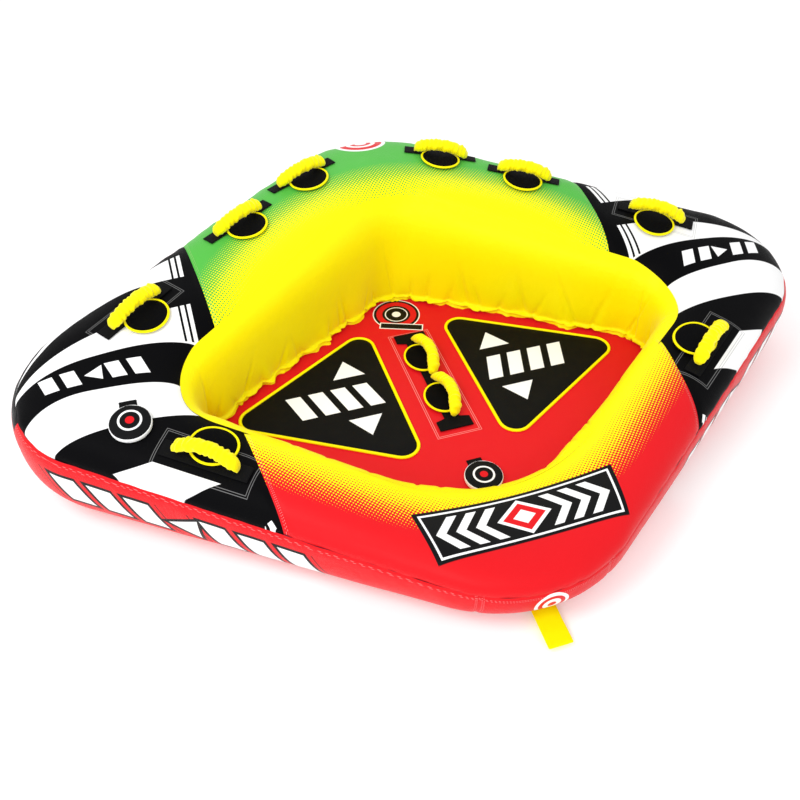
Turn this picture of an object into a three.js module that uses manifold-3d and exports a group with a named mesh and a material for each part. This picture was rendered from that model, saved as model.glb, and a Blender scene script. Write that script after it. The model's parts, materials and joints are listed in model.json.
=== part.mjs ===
// Two-seat towable water tube: an inflated ring in a sewn nylon cover round a sunken seat, with webbing handles,
// covered air valves and a tow strap at each end.
// Millimetres. +Z up, the front (tow end) towards -Y, the origin on the ground under the middle of the seat.
import * as THREE from "three";
import { mergeVertices } from "three/addons/utils/BufferGeometryUtils.js";
import Module from "manifold-3d";

const wasm = await Module();
wasm.setup();

// ---- driving dimensions ----------------------------------------------------------------------------
// A plan outline is a rounded rhombus: the front, side and back corner points, and the radius at each.
const OUTER = { front: [0, -1012], side: [1496, 31], back: [0, 1061], radii: [448, 290, 507] };
const COCKPIT = { front: [0, -658], side: [858, -54], back: [0, 504], radii: [495, 122, 135] };
const BOLSTER = { front: [0, -699], side: [937, -72], back: [0, 573], radii: [540, 180, 234] };
const CREST_AT_MIDDLE = 372; // height of the ring's crest at y = 0
const CREST_SLOPE = 0.225; // the ring grows taller towards the back
const MIDDLE_SHARE = 0.56; // height of the ring's widest line, as a share of its crest
const TOP_POWER = 2.8; // the section is a superellipse: 2 is an ellipse, more is squarer
const BOTTOM_POWER = 2.5;
const INNER_WALL_POWER = 6; // below its widest line the cockpit wall drops nearly straight
const SEAM_AT_MIDDLE = 302; // the deck-to-band seam lies in a tilted plane
const SEAM_SLOPE = 0.176;
const COVER = 2; // cover cloth, with its coating and backing
const BLADDER_WALL = 1;
const BLADDER_INSET = 7; // from the ring's outer surface to the bladder
const GAP = 0.4; // between neighbouring sewn pieces
const SEAT_TOP = 68;
// The slanting seams across the deck: a point on each right-hand seam, and how far it leans outwards per unit of y.
const FRONT_SEAM = { x: 655, y: -245, lean: 0.1265 };
const REAR_SEAM = { x: 664, y: 139, lean: 0.095 };
const WALL_CLOTH_FRONT = -250; // the backrest's cloth starts this far forward on the cockpit wall
const BAND_SPLIT = 185; // half length of the short band panels at the front and the back
const BAND_END = THREE.MathUtils.degToRad(-80); // where the band meets the bottom sheet, round the section
const BOTTOM_SHEET = 4;
const ZIP = { halfLength: 380, halfWidth: 15, y: 300, tapeFrom: 2.2, sliderHalfWidth: 5, sliderLength: 28 };

const LIFT = 2.5; // of the pieces on the deck, to clear its facets
const STRAP_WIDTH = 50;
const STRAP_THICK = 3;
const GRIP = { span: 190, rise: 48, radius: 21, neck: 5, axisHeight: 11 };
const SEAT_GRIP_LEAN = 40; // degrees at rest
const GUARD = { along: 66, across: 62, thick: 5, inboard: 50 };
const RING_VALVE_AT = [-940, -187];
const SEAT_VALVE_Y = -450;
const VALVE = { cover: 60, coverHeight: 26, wall: 4, flange: 50, capRadius: 30, bore: 20 };
const NECK_HOLE = VALVE.bore + 5; // radius of the opening that a valve's neck passes through
const TOW = { width: 68, length: 118, thick: 9, web: 3, droop: { front: 4, rear: 22 } };

const upward = new THREE.Vector3(0, 0, 1);

// ---- plan outlines and the ring's section ----------------------------------------------------------
const EDGE_STEPS = 5;
const ARC_STEPS = 3;

function arc(centre, radius, from, to, steps) {
  return Array.from({ length: steps }, (_, k) => {
    const t = from + ((to - from) * k) / steps;
    return new THREE.Vector2(centre.x + radius * Math.cos(t), centre.y + radius * Math.sin(t));
  });
}

function straight(a, b, steps) {
  return Array.from({ length: steps }, (_, k) => a.clone().lerp(b, k / steps));
}

// The whole outline, anticlockwise from the front point. Every outline has the same number of stations, so that
// the stations of two outlines pair up.
function outline({ front, side, back, radii }, edgeSteps = EDGE_STEPS, arcSteps = ARC_STEPS) {
  const [frontR, sideR, backR] = radii;
  const corner = new THREE.Vector2(...side);
  const frontEdge = Math.atan2(side[1] - front[1], side[0] - front[0]);
  const backEdge = Math.atan2(back[1] - side[1], back[0] - side[0]);
  const turn = backEdge - frontEdge;
  const onEdge = (angle, distance) =>
    new THREE.Vector2(Math.cos(angle), Math.sin(angle)).multiplyScalar(distance).add(corner);
  const cut = sideR * Math.tan(turn / 2);
  const sideIn = onEdge(frontEdge, -cut);
  const sideOut = onEdge(backEdge, cut);
  const sideCentre = new THREE.Vector2(-Math.sin(frontEdge), Math.cos(frontEdge)).multiplyScalar(sideR).add(sideIn);
  const frontCentre = new THREE.Vector2(0, front[1] + frontR / Math.cos(frontEdge));
  const backCentre = new THREE.Vector2(0, back[1] - backR / Math.cos(Math.PI - backEdge));
  const quarter = Math.PI / 2;
  const frontArc = arc(frontCentre, frontR, -quarter, frontEdge - quarter, arcSteps);
  const backArc = arc(backCentre, backR, backEdge - quarter, quarter, arcSteps);
  const frontEnd = arc(frontCentre, frontR, frontEdge - quarter, 0, 1)[0];
  const right = [
    ...frontArc,
    ...straight(frontEnd, sideIn, edgeSteps),
    ...arc(sideCentre, sideR, frontEdge - quarter, backEdge - quarter, 2 * arcSteps),
    ...straight(sideOut, backArc[0], edgeSteps),
    ...backArc,
  ];
  const backPoint = new THREE.Vector2(0, backCentre.y + backR);
  const left = right.slice(1).reverse().map((p) => new THREE.Vector2(-p.x, p.y));
  return [...right, backPoint, ...left];
}

const outerLine = outline(OUTER);
const cockpitLine = outline(COCKPIT);
const STATIONS = outerLine.length;

const signedPower = (value, power) => Math.sign(value) * Math.abs(value) ** power;

// The point of the ring's section at a station. angle 0 is the outermost point, 90 degrees the crest and 180
// degrees the cockpit wall; inset moves it inwards from the outer surface.
function ringPoint(station, angle, inset = 0) {
  const outer = outerLine[station];
  const inner = cockpitLine[station];
  const middle = outer.clone().add(inner).multiplyScalar(0.5);
  const half = outer.distanceTo(inner) / 2;
  const outward = outer.clone().sub(inner).normalize();
  const crest = CREST_AT_MIDDLE + CREST_SLOPE * middle.y;
  const widest = MIDDLE_SHARE * crest;
  const cos = Math.cos(angle);
  const sin = Math.sin(angle);
  const power = sin > 0 ? TOP_POWER : cos > 0 ? BOTTOM_POWER : INNER_WALL_POWER;
  const across = signedPower(cos, 2 / power) * (half - inset);
  const rise = signedPower(sin, 2 / power) * ((sin > 0 ? crest - widest : widest) - inset);
  return new THREE.Vector3(middle.x + outward.x * across, middle.y + outward.y * across, widest + rise);
}

// The angle round the section at which the ring's surface passes a height, on its outer or its cockpit side.
function angleAtHeight(station, height, side) {
  let low = side > 0 ? 0 : Math.PI / 2;
  let high = side > 0 ? Math.PI / 2 : 1.45 * Math.PI;
  for (let step = 0; step < 40; step++) {
    const middle = (low + high) / 2;
    const above = ringPoint(station, middle).z > height;
    if (above === side > 0) high = middle;
    else low = middle;
  }
  return (low + high) / 2;
}

const seamAngle = (station) =>
  angleAtHeight(station, SEAM_AT_MIDDLE + SEAM_SLOPE * outerLine[station].y, 1);

// ---- solids ----------------------------------------------------------------------------------------
function geometryFrom(points, triangles) {
  return new THREE.BufferGeometry()
    .setAttribute("position", new THREE.BufferAttribute(new Float32Array(points.flatMap((p) => p.toArray())), 3))
    .setIndex(triangles);
}

// Sweeps closed section loops (equal counts) into a solid: joined end to start, or with a flat cap at each end.
function loft(loops, closed) {
  const count = loops[0].length;
  const triangles = [];
  const last = closed ? loops.length : loops.length - 1;
  for (let i = 0; i < last; i++) {
    const next = (i + 1) % loops.length;
    for (let j = 0; j < count; j++) {
      const k = (j + 1) % count;
      const [a, b, c, d] = [i * count + j, next * count + j, next * count + k, i * count + k];
      triangles.push(a, b, c, a, c, d);
    }
  }
  if (!closed) {
    const end = (loops.length - 1) * count;
    for (let j = 1; j < count - 1; j++) {
      triangles.push(0, j, j + 1);
      triangles.push(end, end + j + 1, end + j);
    }
  }
  return geometryFrom(loops.flat(), triangles);
}

function toSolid(geometry) {
  const bare = geometry.clone();
  bare.deleteAttribute("normal");
  bare.deleteAttribute("uv");
  const merged = mergeVertices(bare, 1e-3);
  const build = (triVerts) =>
    new wasm.Manifold(
      new wasm.Mesh({ numProp: 3, vertProperties: new Float32Array(merged.attributes.position.array), triVerts }),
    );
  const solid = build(new Uint32Array(merged.index.array));
  if (solid.volume() > 0) return solid;
  return build(new Uint32Array(merged.index.array).reverse());
}

function fromSolid(solid) {
  const mesh = solid.getMesh();
  const points = [];
  for (let i = 0; i < mesh.numVert; i++) {
    points.push(new THREE.Vector3(...mesh.vertProperties.slice(i * mesh.numProp, i * mesh.numProp + 3)));
  }
  return geometryFrom(points, Array.from(mesh.triVerts));
}

// A flat plate with this outline, from one height to another.
function prism(points, from, to) {
  const geometry = new THREE.ExtrudeGeometry(new THREE.Shape(points), { depth: to - from, bevelEnabled: false });
  return geometry.translate(0, 0, from);
}

function box(xRange, yRange, zRange) {
  const size = [xRange, yRange, zRange].map(([a, b]) => b - a);
  const middle = [xRange, yRange, zRange].map(([a, b]) => (a + b) / 2);
  return new THREE.BoxGeometry(...size).translate(...middle);
}

// Moves each point of a plan outline inwards by a distance, along the outline's normal there.
function shrunk(points, distance) {
  return points.map((p, i) => {
    const before = points[(i + points.length - 1) % points.length];
    const after = points[(i + 1) % points.length];
    const along = after.clone().sub(before).normalize();
    return new THREE.Vector2(p.x - along.y * distance, p.y + along.x * distance);
  });
}

// ---- materials -------------------------------------------------------------------------------------
function cloth(colour, roughness = 0.55) {
  return new THREE.MeshStandardMaterial({ color: colour, roughness, metalness: 0 });
}

const RED = cloth(0xe01a22);
const YELLOW = cloth(0xfff000);
const WHITE = cloth(0xf4f4f4);
const GREEN = cloth(0x5cc04a);
const BLACK = cloth(0x0a0a0b, 0.7);
const PVC = cloth(0x2c3a4c, 0.35);
const PLASTIC = cloth(0x16181a, 0.4);

const tube = new THREE.Group();

function add(name, geometry, material, parent = tube) {
  const mesh = new THREE.Mesh(geometry, material);
  mesh.name = name;
  parent.add(mesh);
  return mesh;
}

// ---- sewn cover ------------------------------------------------------------------------------------
// A skin of the ring between two angles of its section, as a closed shell that goes all the way round.
function ringSkin(fromAngle, toAngle, steps) {
  const loops = Array.from({ length: STATIONS }, (_, station) => {
    const from = fromAngle(station);
    const to = toAngle(station);
    const angles = Array.from({ length: steps + 1 }, (_, k) => from + ((to - from) * k) / steps);
    const outside = angles.map((angle) => ringPoint(station, angle));
    const inside = angles.map((angle) => ringPoint(station, angle, COVER)).reverse();
    return [...outside, ...inside];
  });
  return toSolid(loft(loops, true));
}

const FAR = 2000;
const region = (points) => toSolid(prism(points.map(([x, y]) => new THREE.Vector2(x, y)), -FAR, FAR));
const seamX = (seam, y) => seam.x + seam.lean * (y - seam.y);
const mirrored = (points) => points.map(([x, y]) => [-x, y]).reverse();

// A strip about the middle plane, whose half width is given at each of its two ends.
const middleStrip = ([x0, y0], [x1, y1]) => region([[-x0, y0], [x0, y0], [x1, y1], [-x1, y1]]);

function addDeckPanels() {
  const foot = (station) => angleAtHeight(station, SEAT_TOP + GAP, -1);
  const deck = ringSkin(foot, seamAngle, 10);
  deckSurface = new THREE.Mesh(fromSolid(deck), WHITE);
  valvePlaces.ring = deckFrame(...RING_VALVE_AT, [0, -1], 2 * VALVE.flange).setPosition(deckPoint(...RING_VALVE_AT));
  // Inside the bolster line and behind its front limit the cockpit wall has the backrest's cloth.
  const bolster = outline(BOLSTER, 8, 6);
  const behind = (y) => region([[-FAR, y], [FAR, y], [FAR, FAR], [-FAR, FAR]]);
  const wallCloth = toSolid(prism(bolster, -FAR, FAR)).intersect(behind(WALL_CLOTH_FRONT));
  const grown = toSolid(prism(shrunk(bolster, -GAP), -FAR, FAR)).intersect(behind(WALL_CLOTH_FRONT - GAP));
  add("backrest_panel", fromSolid(deck.intersect(wallCloth)), YELLOW);
  const rest = deck.subtract(grown);
  const seamAt = (seam, y, offset) => [seamX(seam, y) + offset, y];
  const half = GAP / 2;
  const front = middleStrip(seamAt(FRONT_SEAM, -FAR, -half), seamAt(FRONT_SEAM, 0, -half));
  const rear = middleStrip(seamAt(REAR_SEAM, 0, -half), seamAt(REAR_SEAM, FAR, -half));
  const rightSide = [
    seamAt(FRONT_SEAM, -FAR, half),
    [FAR, -FAR],
    [FAR, FAR],
    seamAt(REAR_SEAM, FAR, half),
    seamAt(REAR_SEAM, 0, half),
    seamAt(FRONT_SEAM, 0, half),
  ];
  const neckHole = valveHole(valvePlaces.ring, NECK_HOLE);
  add("front_deck_panel", fromSolid(rest.intersect(front)), RED);
  add("rear_deck_panel", fromSolid(rest.intersect(rear)), GREEN);
  add("right_deck_panel", fromSolid(rest.intersect(region(rightSide))), WHITE);
  add("left_deck_panel", fromSolid(rest.intersect(region(mirrored(rightSide))).subtract(neckHole)), WHITE);
}

// The band hangs from the deck seam down to the bottom sheet, in four lengths.
function addBandPanels() {
  const seamTurn = 0.002; // of the section, between the deck's edge and the band's
  const band = ringSkin((station) => seamAngle(station) - seamTurn, () => BAND_END, 6);
  const inner = BAND_SPLIT - GAP / 2;
  const outer = BAND_SPLIT + GAP / 2;
  const rightSide = [[outer, -FAR], [FAR, -FAR], [FAR, FAR], [outer, FAR]];
  add("front_band_panel", fromSolid(band.intersect(middleStrip([inner, -FAR], [inner, 0]))), RED);
  add("rear_band_panel", fromSolid(band.intersect(middleStrip([inner, 0], [inner, FAR]))), RED);
  add("right_band_panel", fromSolid(band.intersect(region(rightSide))), RED);
  add("left_band_panel", fromSolid(band.intersect(region(mirrored(rightSide)))), RED);
}

// The long zip under the back of the seat, through which the chambers go in.
function addBottomSheet() {
  const edge = outerLine.map((_, station) => {
    const p = ringPoint(station, BAND_END);
    return new THREE.Vector2(p.x, p.y);
  });
  const sheet = toSolid(prism(shrunk(edge, 2), 0, BOTTOM_SHEET));
  const { halfLength, halfWidth, y, tapeFrom, sliderHalfWidth, sliderLength } = ZIP;
  const slot = toSolid(box([-halfLength, halfLength], [y - halfWidth, y + halfWidth], [-1, BOTTOM_SHEET + 1]));
  add("bottom_panel", fromSolid(sheet.subtract(slot)), BLACK);
  add("zip_tape", box(
    [GAP - halfLength, halfLength - GAP],
    [y - halfWidth + GAP, y + halfWidth - GAP],
    [tapeFrom, BOTTOM_SHEET],
  ), BLACK);
  const sliderFrom = 2 - halfLength;
  add("zip_slider", box(
    [sliderFrom, sliderFrom + sliderLength],
    [y - sliderHalfWidth, y + sliderHalfWidth],
    [0.2, tapeFrom - 0.3],
  ), PLASTIC);
}

// ---- air chambers and the seat ---------------------------------------------------------------------
const fullTurn = (steps) => Array.from({ length: steps }, (_, k) => (k / steps) * 2 * Math.PI);

function ringSolid(inset) {
  const angles = fullTurn(14).map((a) => a + Math.PI / 14);
  const loops = Array.from({ length: STATIONS }, (_, s) => angles.map((a) => ringPoint(s, a, inset)));
  return toSolid(loft(loops, true));
}

// Where each valve sits, as a frame on the surface it rises from.
const valvePlaces = {};

// Casts a ray onto the sewn deck and returns where it lands.
const caster = new THREE.Raycaster();
let deckSurface;

function landing(from, direction) {
  caster.set(from, direction.clone().normalize());
  return caster.intersectObject(deckSurface)[0].point;
}

const deckPoint = (x, y) => landing(new THREE.Vector3(x, y, FAR), new THREE.Vector3(0, 0, -1));

// A frame on the deck under the middle of a piece that runs in a plan direction: its x axis joins the two points
// of the deck under the piece's ends, and its z axis leaves the deck.
function deckFrame(x, y, direction, length) {
  const along = new THREE.Vector2(...direction).normalize().multiplyScalar(length / 2);
  const [start, end] = [-1, 1].map((side) => deckPoint(x + side * along.x, y + side * along.y));
  const [low, high] = [-1, 1].map((side) => deckPoint(x - side * along.y * 0.3, y + side * along.x * 0.3));
  const run = end.clone().sub(start);
  const normal = run.clone().cross(high.sub(low));
  if (normal.z < 0) normal.negate();
  return frameMatrix(start.add(end).multiplyScalar(0.5), normal, run);
}

// Lays a flat piece, given in a frame on the deck, over the deck's curve.
function draped(geometry, matrix) {
  const up = new THREE.Vector3().setFromMatrixColumn(matrix, 2);
  const back = matrix.clone().invert();
  const position = geometry.attributes.position;
  for (let i = 0; i < position.count; i++) {
    const high = new THREE.Vector3(position.getX(i), position.getY(i), 150).applyMatrix4(matrix);
    const rise = landing(high, up.clone().negate()).applyMatrix4(back).z;
    position.setZ(i, position.getZ(i) + rise);
  }
  return geometry;
}

function cylinder(radius, from, to, sides = 24) {
  const geometry = new THREE.CylinderGeometry(radius, radius, to - from, sides);
  return geometry.rotateX(Math.PI / 2).translate(0, 0, (from + to) / 2);
}

// A frame with its z axis along the normal and its x axis as near as it can be to the wanted plan direction.
function frameMatrix(point, normal, direction) {
  const z = normal.clone().normalize();
  const x = direction.clone().addScaledVector(z, -direction.dot(z)).normalize();
  const y = z.clone().cross(x);
  return new THREE.Matrix4().makeBasis(x, y, z).setPosition(point);
}

function placed(matrix) {
  const group = new THREE.Group();
  matrix.decompose(group.position, group.quaternion, group.scale);
  tube.add(group);
  return group;
}

function lathe(profile, sides = 24) {
  return new THREE.LatheGeometry(profile.map(([r, z]) => new THREE.Vector2(r, z)), sides).rotateX(Math.PI / 2);
}

// A screw valve: a flange welded in the chamber's opening, a push stem, a screw cap, and a cloth-covered foam cup
// that folds back on its hem.
function addValve(name, matrix) {
  const group = placed(matrix);
  const { cover, coverHeight, wall, flange, capRadius, bore } = VALVE;
  add(`${name}_valve_base`, lathe([
    [bore, -14], [bore + 4, -14], [bore + 4, LIFT], [flange, LIFT], [flange, LIFT + 1.2], [bore + 6, LIFT + 1.2],
    [bore + 6, 9], [bore, 9], [bore, -14],
  ]), PLASTIC, group);
  add(`${name}_valve_stem`, lathe([
    [0, -10], [bore - 1, -10], [bore - 1, -7], [4, -7], [4, 6], [0, 6],
  ], 16), RED, group);
  add(`${name}_valve_cap`, lathe([
    [0, 10], [bore + 6.4, 10], [bore + 6.4, 4], [capRadius, 4], [capRadius, 17], [0, 17],
  ]), PLASTIC, group);
  add(`${name}_valve_cover`, lathe([
    [0, coverHeight - wall], [cover - wall, coverHeight - wall], [cover - wall, LIFT + 2], [cover, LIFT + 2],
    [cover, coverHeight - 3], [cover - 3, coverHeight], [0, coverHeight],
  ], 28), BLACK, group);
}

// The opening in the cover, or in a chamber, that a valve's neck passes through.
function valveHole(matrix, radius) {
  return toSolid(cylinder(radius, -60, 40)).transform(matrix.elements);
}

function addAirChambers() {
  const hole = valveHole(valvePlaces.ring, NECK_HOLE);
  const ring = ringSolid(BLADDER_INSET).subtract(ringSolid(BLADDER_INSET + BLADDER_WALL)).subtract(hole);
  add("ring_air_chamber", fromSolid(ring), PVC);

  const seatHole = valveHole(valvePlaces.seat, NECK_HOLE);
  const from = BOTTOM_SHEET + 2;
  const to = SEAT_TOP - COVER - 2;
  const side = 14;
  const pad = toSolid(prism(shrunk(cockpitLine, side), from, to));
  const inside = toSolid(prism(shrunk(cockpitLine, side + 6), from + BLADDER_WALL, to - BLADDER_WALL));
  const ribs = [-400, -135, 135, 400].map((x) => {
    const reach = 270 - Math.abs(x) * 0.4;
    return toSolid(box([x - 1, x + 1], [-reach, reach], [from + 1, to - 1]));
  });
  const air = ribs.reduce((solid, rib) => solid.subtract(rib), inside);
  add("seat_air_chamber", fromSolid(pad.subtract(air).subtract(seatHole)), PVC);

  const seat = toSolid(prism(shrunk(cockpitLine, 1.5), SEAT_TOP - COVER, SEAT_TOP));
  add("seat_panel", fromSolid(seat.subtract(seatHole)), RED);
}

// ---- handles ---------------------------------------------------------------------------------------
// A grip's arch, standing up over its hinge line: round foam in webbing, thin where it is sewn down.
function gripGeometry() {
  const { span, rise, radius, neck, axisHeight } = GRIP;
  const rings = 13;
  const sides = 8;
  const at = (s) => {
    const arch = Math.sin(Math.PI * s) ** 0.65;
    return new THREE.Vector3(span * (s - 0.5), 0, axisHeight + rise * arch);
  };
  const loops = Array.from({ length: rings }, (_, i) => {
    const s = i / (rings - 1);
    const ends = s < 0.01 || s > 0.99;
    const ahead = at(Math.min(1, s + 0.02)).sub(at(Math.max(0, s - 0.02))).normalize();
    const along = ends ? new THREE.Vector3(1, 0, 0) : ahead;
    const up = new THREE.Vector3(0, 1, 0).cross(along).negate();
    const full = Math.min(1, Math.sin(Math.PI * s) * 2.2);
    const r = neck + (radius - neck) * full;
    return Array.from({ length: sides }, (_, k) => {
      const a = (k / sides) * 2 * Math.PI;
      return at(s).addScaledVector(up, r * Math.cos(a)).add(new THREE.Vector3(0, r * Math.sin(a), 0));
    });
  });
  return fromSolid(toSolid(loft(loops, false)));
}

// An oval plate with a rounded edge, in rings so that it can bend over the deck.
function guardGeometry(along, across) {
  const profile = [[0, 0], [0.5, 0], [0.97, 0], [1, 0.5], [0.97, 1], [0.5, 1], [0, 1]];
  const points = profile.map(([r, z]) => [r, z * GUARD.thick]);
  return lathe(points, 18).scale(along, across, 1);
}

const GUARD_FROM = LIFT + STRAP_THICK + 1.5;

// side is 1 or -1: the way across the webbing that counts as towards the seat.
function addGrip(name, group, side, lean, offset = 0) {
  const holder = new THREE.Group();
  holder.position.set(offset, 0, GRIP.axisHeight);
  holder.rotation.x = THREE.MathUtils.degToRad(-side * lean);
  group.add(holder);
  add(`${name}_grip`, gripGeometry().translate(0, 0, -GRIP.axisHeight), YELLOW, holder);
}

function addHandle(name, matrix, side, lean) {
  const group = placed(matrix);
  const strap = new THREE.BoxGeometry(GRIP.span + 68, STRAP_WIDTH, STRAP_THICK, 10, 2, 1);
  strap.translate(0, 0, LIFT + STRAP_THICK / 2);
  add(`${name}_strap`, draped(strap, matrix), BLACK, group);
  const guard = guardGeometry(GUARD.along, GUARD.across).translate(0, side * GUARD.inboard, GUARD_FROM);
  add(`${name}_guard`, draped(guard, matrix), BLACK, group);
  addGrip(name, group, side, lean);
}

// Each deck handle on the right: its middle and the way its webbing runs, in plan. The left has the mirror image.
// lean is the grip's angle at rest in degrees, towards the seat when positive
const DECK_HANDLES = {
  rear_inner: { at: [255, 683], runs: [-200, 75], lean: 36 },
  rear_outer: { at: [510, 512], runs: [-180, 100], lean: 36 },
  side: { at: [877, 208], runs: [-175, 130], lean: 22 },
  front: { at: [767, -349], runs: [230, 163], lean: 12 },
};

function addHandles() {
  for (const [name, { at, runs, lean }] of Object.entries(DECK_HANDLES)) {
    for (const hand of [1, -1]) {
      const [x, y] = [hand * at[0], at[1]];
      const matrix = deckFrame(x, y, [hand * runs[0], runs[1]], GRIP.span);
      const across = new THREE.Vector3().setFromMatrixColumn(matrix, 1);
      const toSeat = new THREE.Vector3(-x, -y, 0);
      addHandle(`${hand > 0 ? "right" : "left"}_${name}`, matrix, across.dot(toSeat) > 0 ? 1 : -1, lean);
    }
  }
  addSeatHandles();
}

const SEAT_HANDLE = {
  y: 14,
  apart: 104,
  strapHalf: 245,
  patchHalfWidth: 56,
  patchLength: 48,
  guardAlong: 68,
  guardAcross: 56,
};

// Two grips in line on one webbing strap, between the riders.
function addSeatHandles() {
  const middle = new THREE.Vector3(0, SEAT_HANDLE.y, SEAT_TOP);
  const group = placed(frameMatrix(middle, upward, new THREE.Vector3(0, 1, 0)));
  const { apart, strapHalf, patchHalfWidth, patchLength, guardAlong, guardAcross } = SEAT_HANDLE;
  const w = STRAP_WIDTH / 2;
  const neck = strapHalf - patchLength;
  const quarter = [[strapHalf, patchHalfWidth], [neck, patchHalfWidth], [neck, w]];
  const half = [...quarter, ...quarter.map(([x, y]) => [-x, y]).reverse()];
  const points = [...half, ...half.map(([x, y]) => [x, -y]).reverse()];
  const strap = prism(points.map(([x, y]) => new THREE.Vector2(x, y)), LIFT, LIFT + STRAP_THICK);
  add("seat_handle_strap", strap, BLACK, group);
  for (const [name, offset] of [["seat_front", -apart], ["seat_rear", apart]]) {
    add(`${name}_guard`, guardGeometry(guardAlong, guardAcross).translate(offset, 0, GUARD_FROM), BLACK, group);
    addGrip(name, group, -1, SEAT_GRIP_LEAN, offset);
  }
}

// Turns a shape drawn in x and y, and extruded along z, so that x runs along the world's y and y along its z.
const YZ_TO_WORLD = new THREE.Matrix4().makeBasis(
  new THREE.Vector3(0, 1, 0),
  new THREE.Vector3(0, 0, 1),
  new THREE.Vector3(1, 0, 0),
);

// ---- tow straps ------------------------------------------------------------------------------------
// A flat webbing loop that hinges on a tab sewn to the band. end is -1 at the front and 1 at the back.
function addTowStrap(name, end) {
  const { width, length, thick, web, droop } = TOW;
  const station = end < 0 ? 0 : STATIONS / 2;
  const bandPoint = (degrees, out) => ringPoint(station, THREE.MathUtils.degToRad(degrees), -out);
  const angles = [-66, -61, -56, -51];
  const profile = [...angles.map((a) => bandPoint(a, 4)), ...angles.map((a) => bandPoint(a, 7)).reverse()];
  const tabShape = new THREE.Shape(profile.map((p) => new THREE.Vector2(p.y, p.z)));
  const tab = new THREE.ExtrudeGeometry(tabShape, { depth: width, bevelEnabled: false });
  tab.translate(0, 0, -width / 2).applyMatrix4(YZ_TO_WORLD);
  add(`${name}_tow_tab`, tab, BLACK);
  const r = thick / 2;
  const loop = new THREE.Shape();
  loop.absarc(0, 0, r, Math.PI / 2, 1.5 * Math.PI);
  loop.lineTo(length - r, -r);
  loop.absarc(length - r, 0, r, -Math.PI / 2, Math.PI / 2);
  loop.closePath();
  const eye = new THREE.Path();
  eye.absarc(length - r, 0, r - web, -Math.PI / 2, Math.PI / 2);
  eye.lineTo(length * 0.45, r - web);
  eye.lineTo(length * 0.45, web - r);
  eye.closePath();
  loop.holes.push(eye);
  const geometry = new THREE.ExtrudeGeometry(loop, { depth: width, bevelEnabled: false, curveSegments: 5 });
  geometry.translate(0, 0, -width / 2);
  if (end < 0) geometry.rotateY(Math.PI);
  geometry.applyMatrix4(YZ_TO_WORLD);
  const strap = add(`${name}_tow_strap`, fromSolid(toSolid(geometry)), YELLOW);
  strap.position.copy(bandPoint(-43, 11));
  strap.rotation.x = THREE.MathUtils.degToRad(-end * droop[name]);
}

// ---- assembly --------------------------------------------------------------------------------------
const forward = new THREE.Vector3(0, -1, 0);
valvePlaces.seat = frameMatrix(new THREE.Vector3(0, SEAT_VALVE_Y, SEAT_TOP), upward, forward);

addDeckPanels();
addBandPanels();
addBottomSheet();
addAirChambers();
addValve("ring", valvePlaces.ring);
addValve("seat", valvePlaces.seat);
addHandles();
addTowStrap("front", -1);
addTowStrap("rear", 1);

export default tube;
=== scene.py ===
import json
import math
from functools import partialmethod

import bmesh
import bpy
import numpy as np
from mathutils import Matrix, Vector
from mathutils.bvhtree import BVHTree


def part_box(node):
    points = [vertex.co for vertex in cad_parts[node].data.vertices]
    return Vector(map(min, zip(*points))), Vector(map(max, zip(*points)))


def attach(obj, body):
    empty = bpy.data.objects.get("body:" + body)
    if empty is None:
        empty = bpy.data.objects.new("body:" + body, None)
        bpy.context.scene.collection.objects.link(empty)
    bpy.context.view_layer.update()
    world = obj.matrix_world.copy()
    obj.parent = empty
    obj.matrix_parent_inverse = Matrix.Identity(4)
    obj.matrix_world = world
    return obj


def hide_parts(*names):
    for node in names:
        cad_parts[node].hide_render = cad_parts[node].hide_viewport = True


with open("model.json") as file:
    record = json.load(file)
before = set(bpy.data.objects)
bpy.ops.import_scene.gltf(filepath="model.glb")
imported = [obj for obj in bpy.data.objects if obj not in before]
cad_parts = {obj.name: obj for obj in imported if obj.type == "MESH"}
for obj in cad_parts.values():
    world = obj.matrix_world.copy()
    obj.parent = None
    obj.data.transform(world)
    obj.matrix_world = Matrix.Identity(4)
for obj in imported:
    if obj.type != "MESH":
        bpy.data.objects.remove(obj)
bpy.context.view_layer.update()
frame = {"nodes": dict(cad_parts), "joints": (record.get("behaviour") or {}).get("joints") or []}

random = np.random.default_rng(11)
BODY = "tube"
HANDS = (("right", 1), ("left", -1))

# ---- driving dimensions, in metres: the same object as the CAD part ---------
OUTER = dict(front=(0, -1.012), side=(1.496, 0.031), back=(0, 1.061), radii=(0.448, 0.290, 0.507))
COCKPIT = dict(front=(0, -0.658), side=(0.858, -0.054), back=(0, 0.504), radii=(0.495, 0.122, 0.135))
BOLSTER = dict(front=(0, -0.699), side=(0.937, -0.072), back=(0, 0.573), radii=(0.540, 0.180, 0.234))
CREST_AT_MIDDLE = 0.372
CREST_SLOPE = 0.225
MIDDLE_SHARE = 0.56
TOP_POWER, BOTTOM_POWER, INNER_WALL_POWER = 2.8, 2.5, 6.0
SEAM_AT_MIDDLE = 0.302
SEAM_SLOPE = 0.176
SEAT_TOP = 0.068
CENTRE_Y = -0.020
WALL_CLOTH_FRONT = -0.250
FRONT_SEAM = dict(x=0.655, y=-0.245, lean=0.1265)
REAR_SEAM = dict(x=0.664, y=0.139, lean=0.095)
BAND_SPLIT = 0.185
BAND_END = math.radians(-80)
GRIP_SPAN = 0.190
GRIP_RISE = 0.048
STRAP_WIDTH = 0.050
STRAP_THICK = 0.003
LIFT = 0.0025
GUARD_ALONG, GUARD_ACROSS, GUARD_INBOARD = 0.066, 0.062, 0.050
RUFFLE = 0.027
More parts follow.
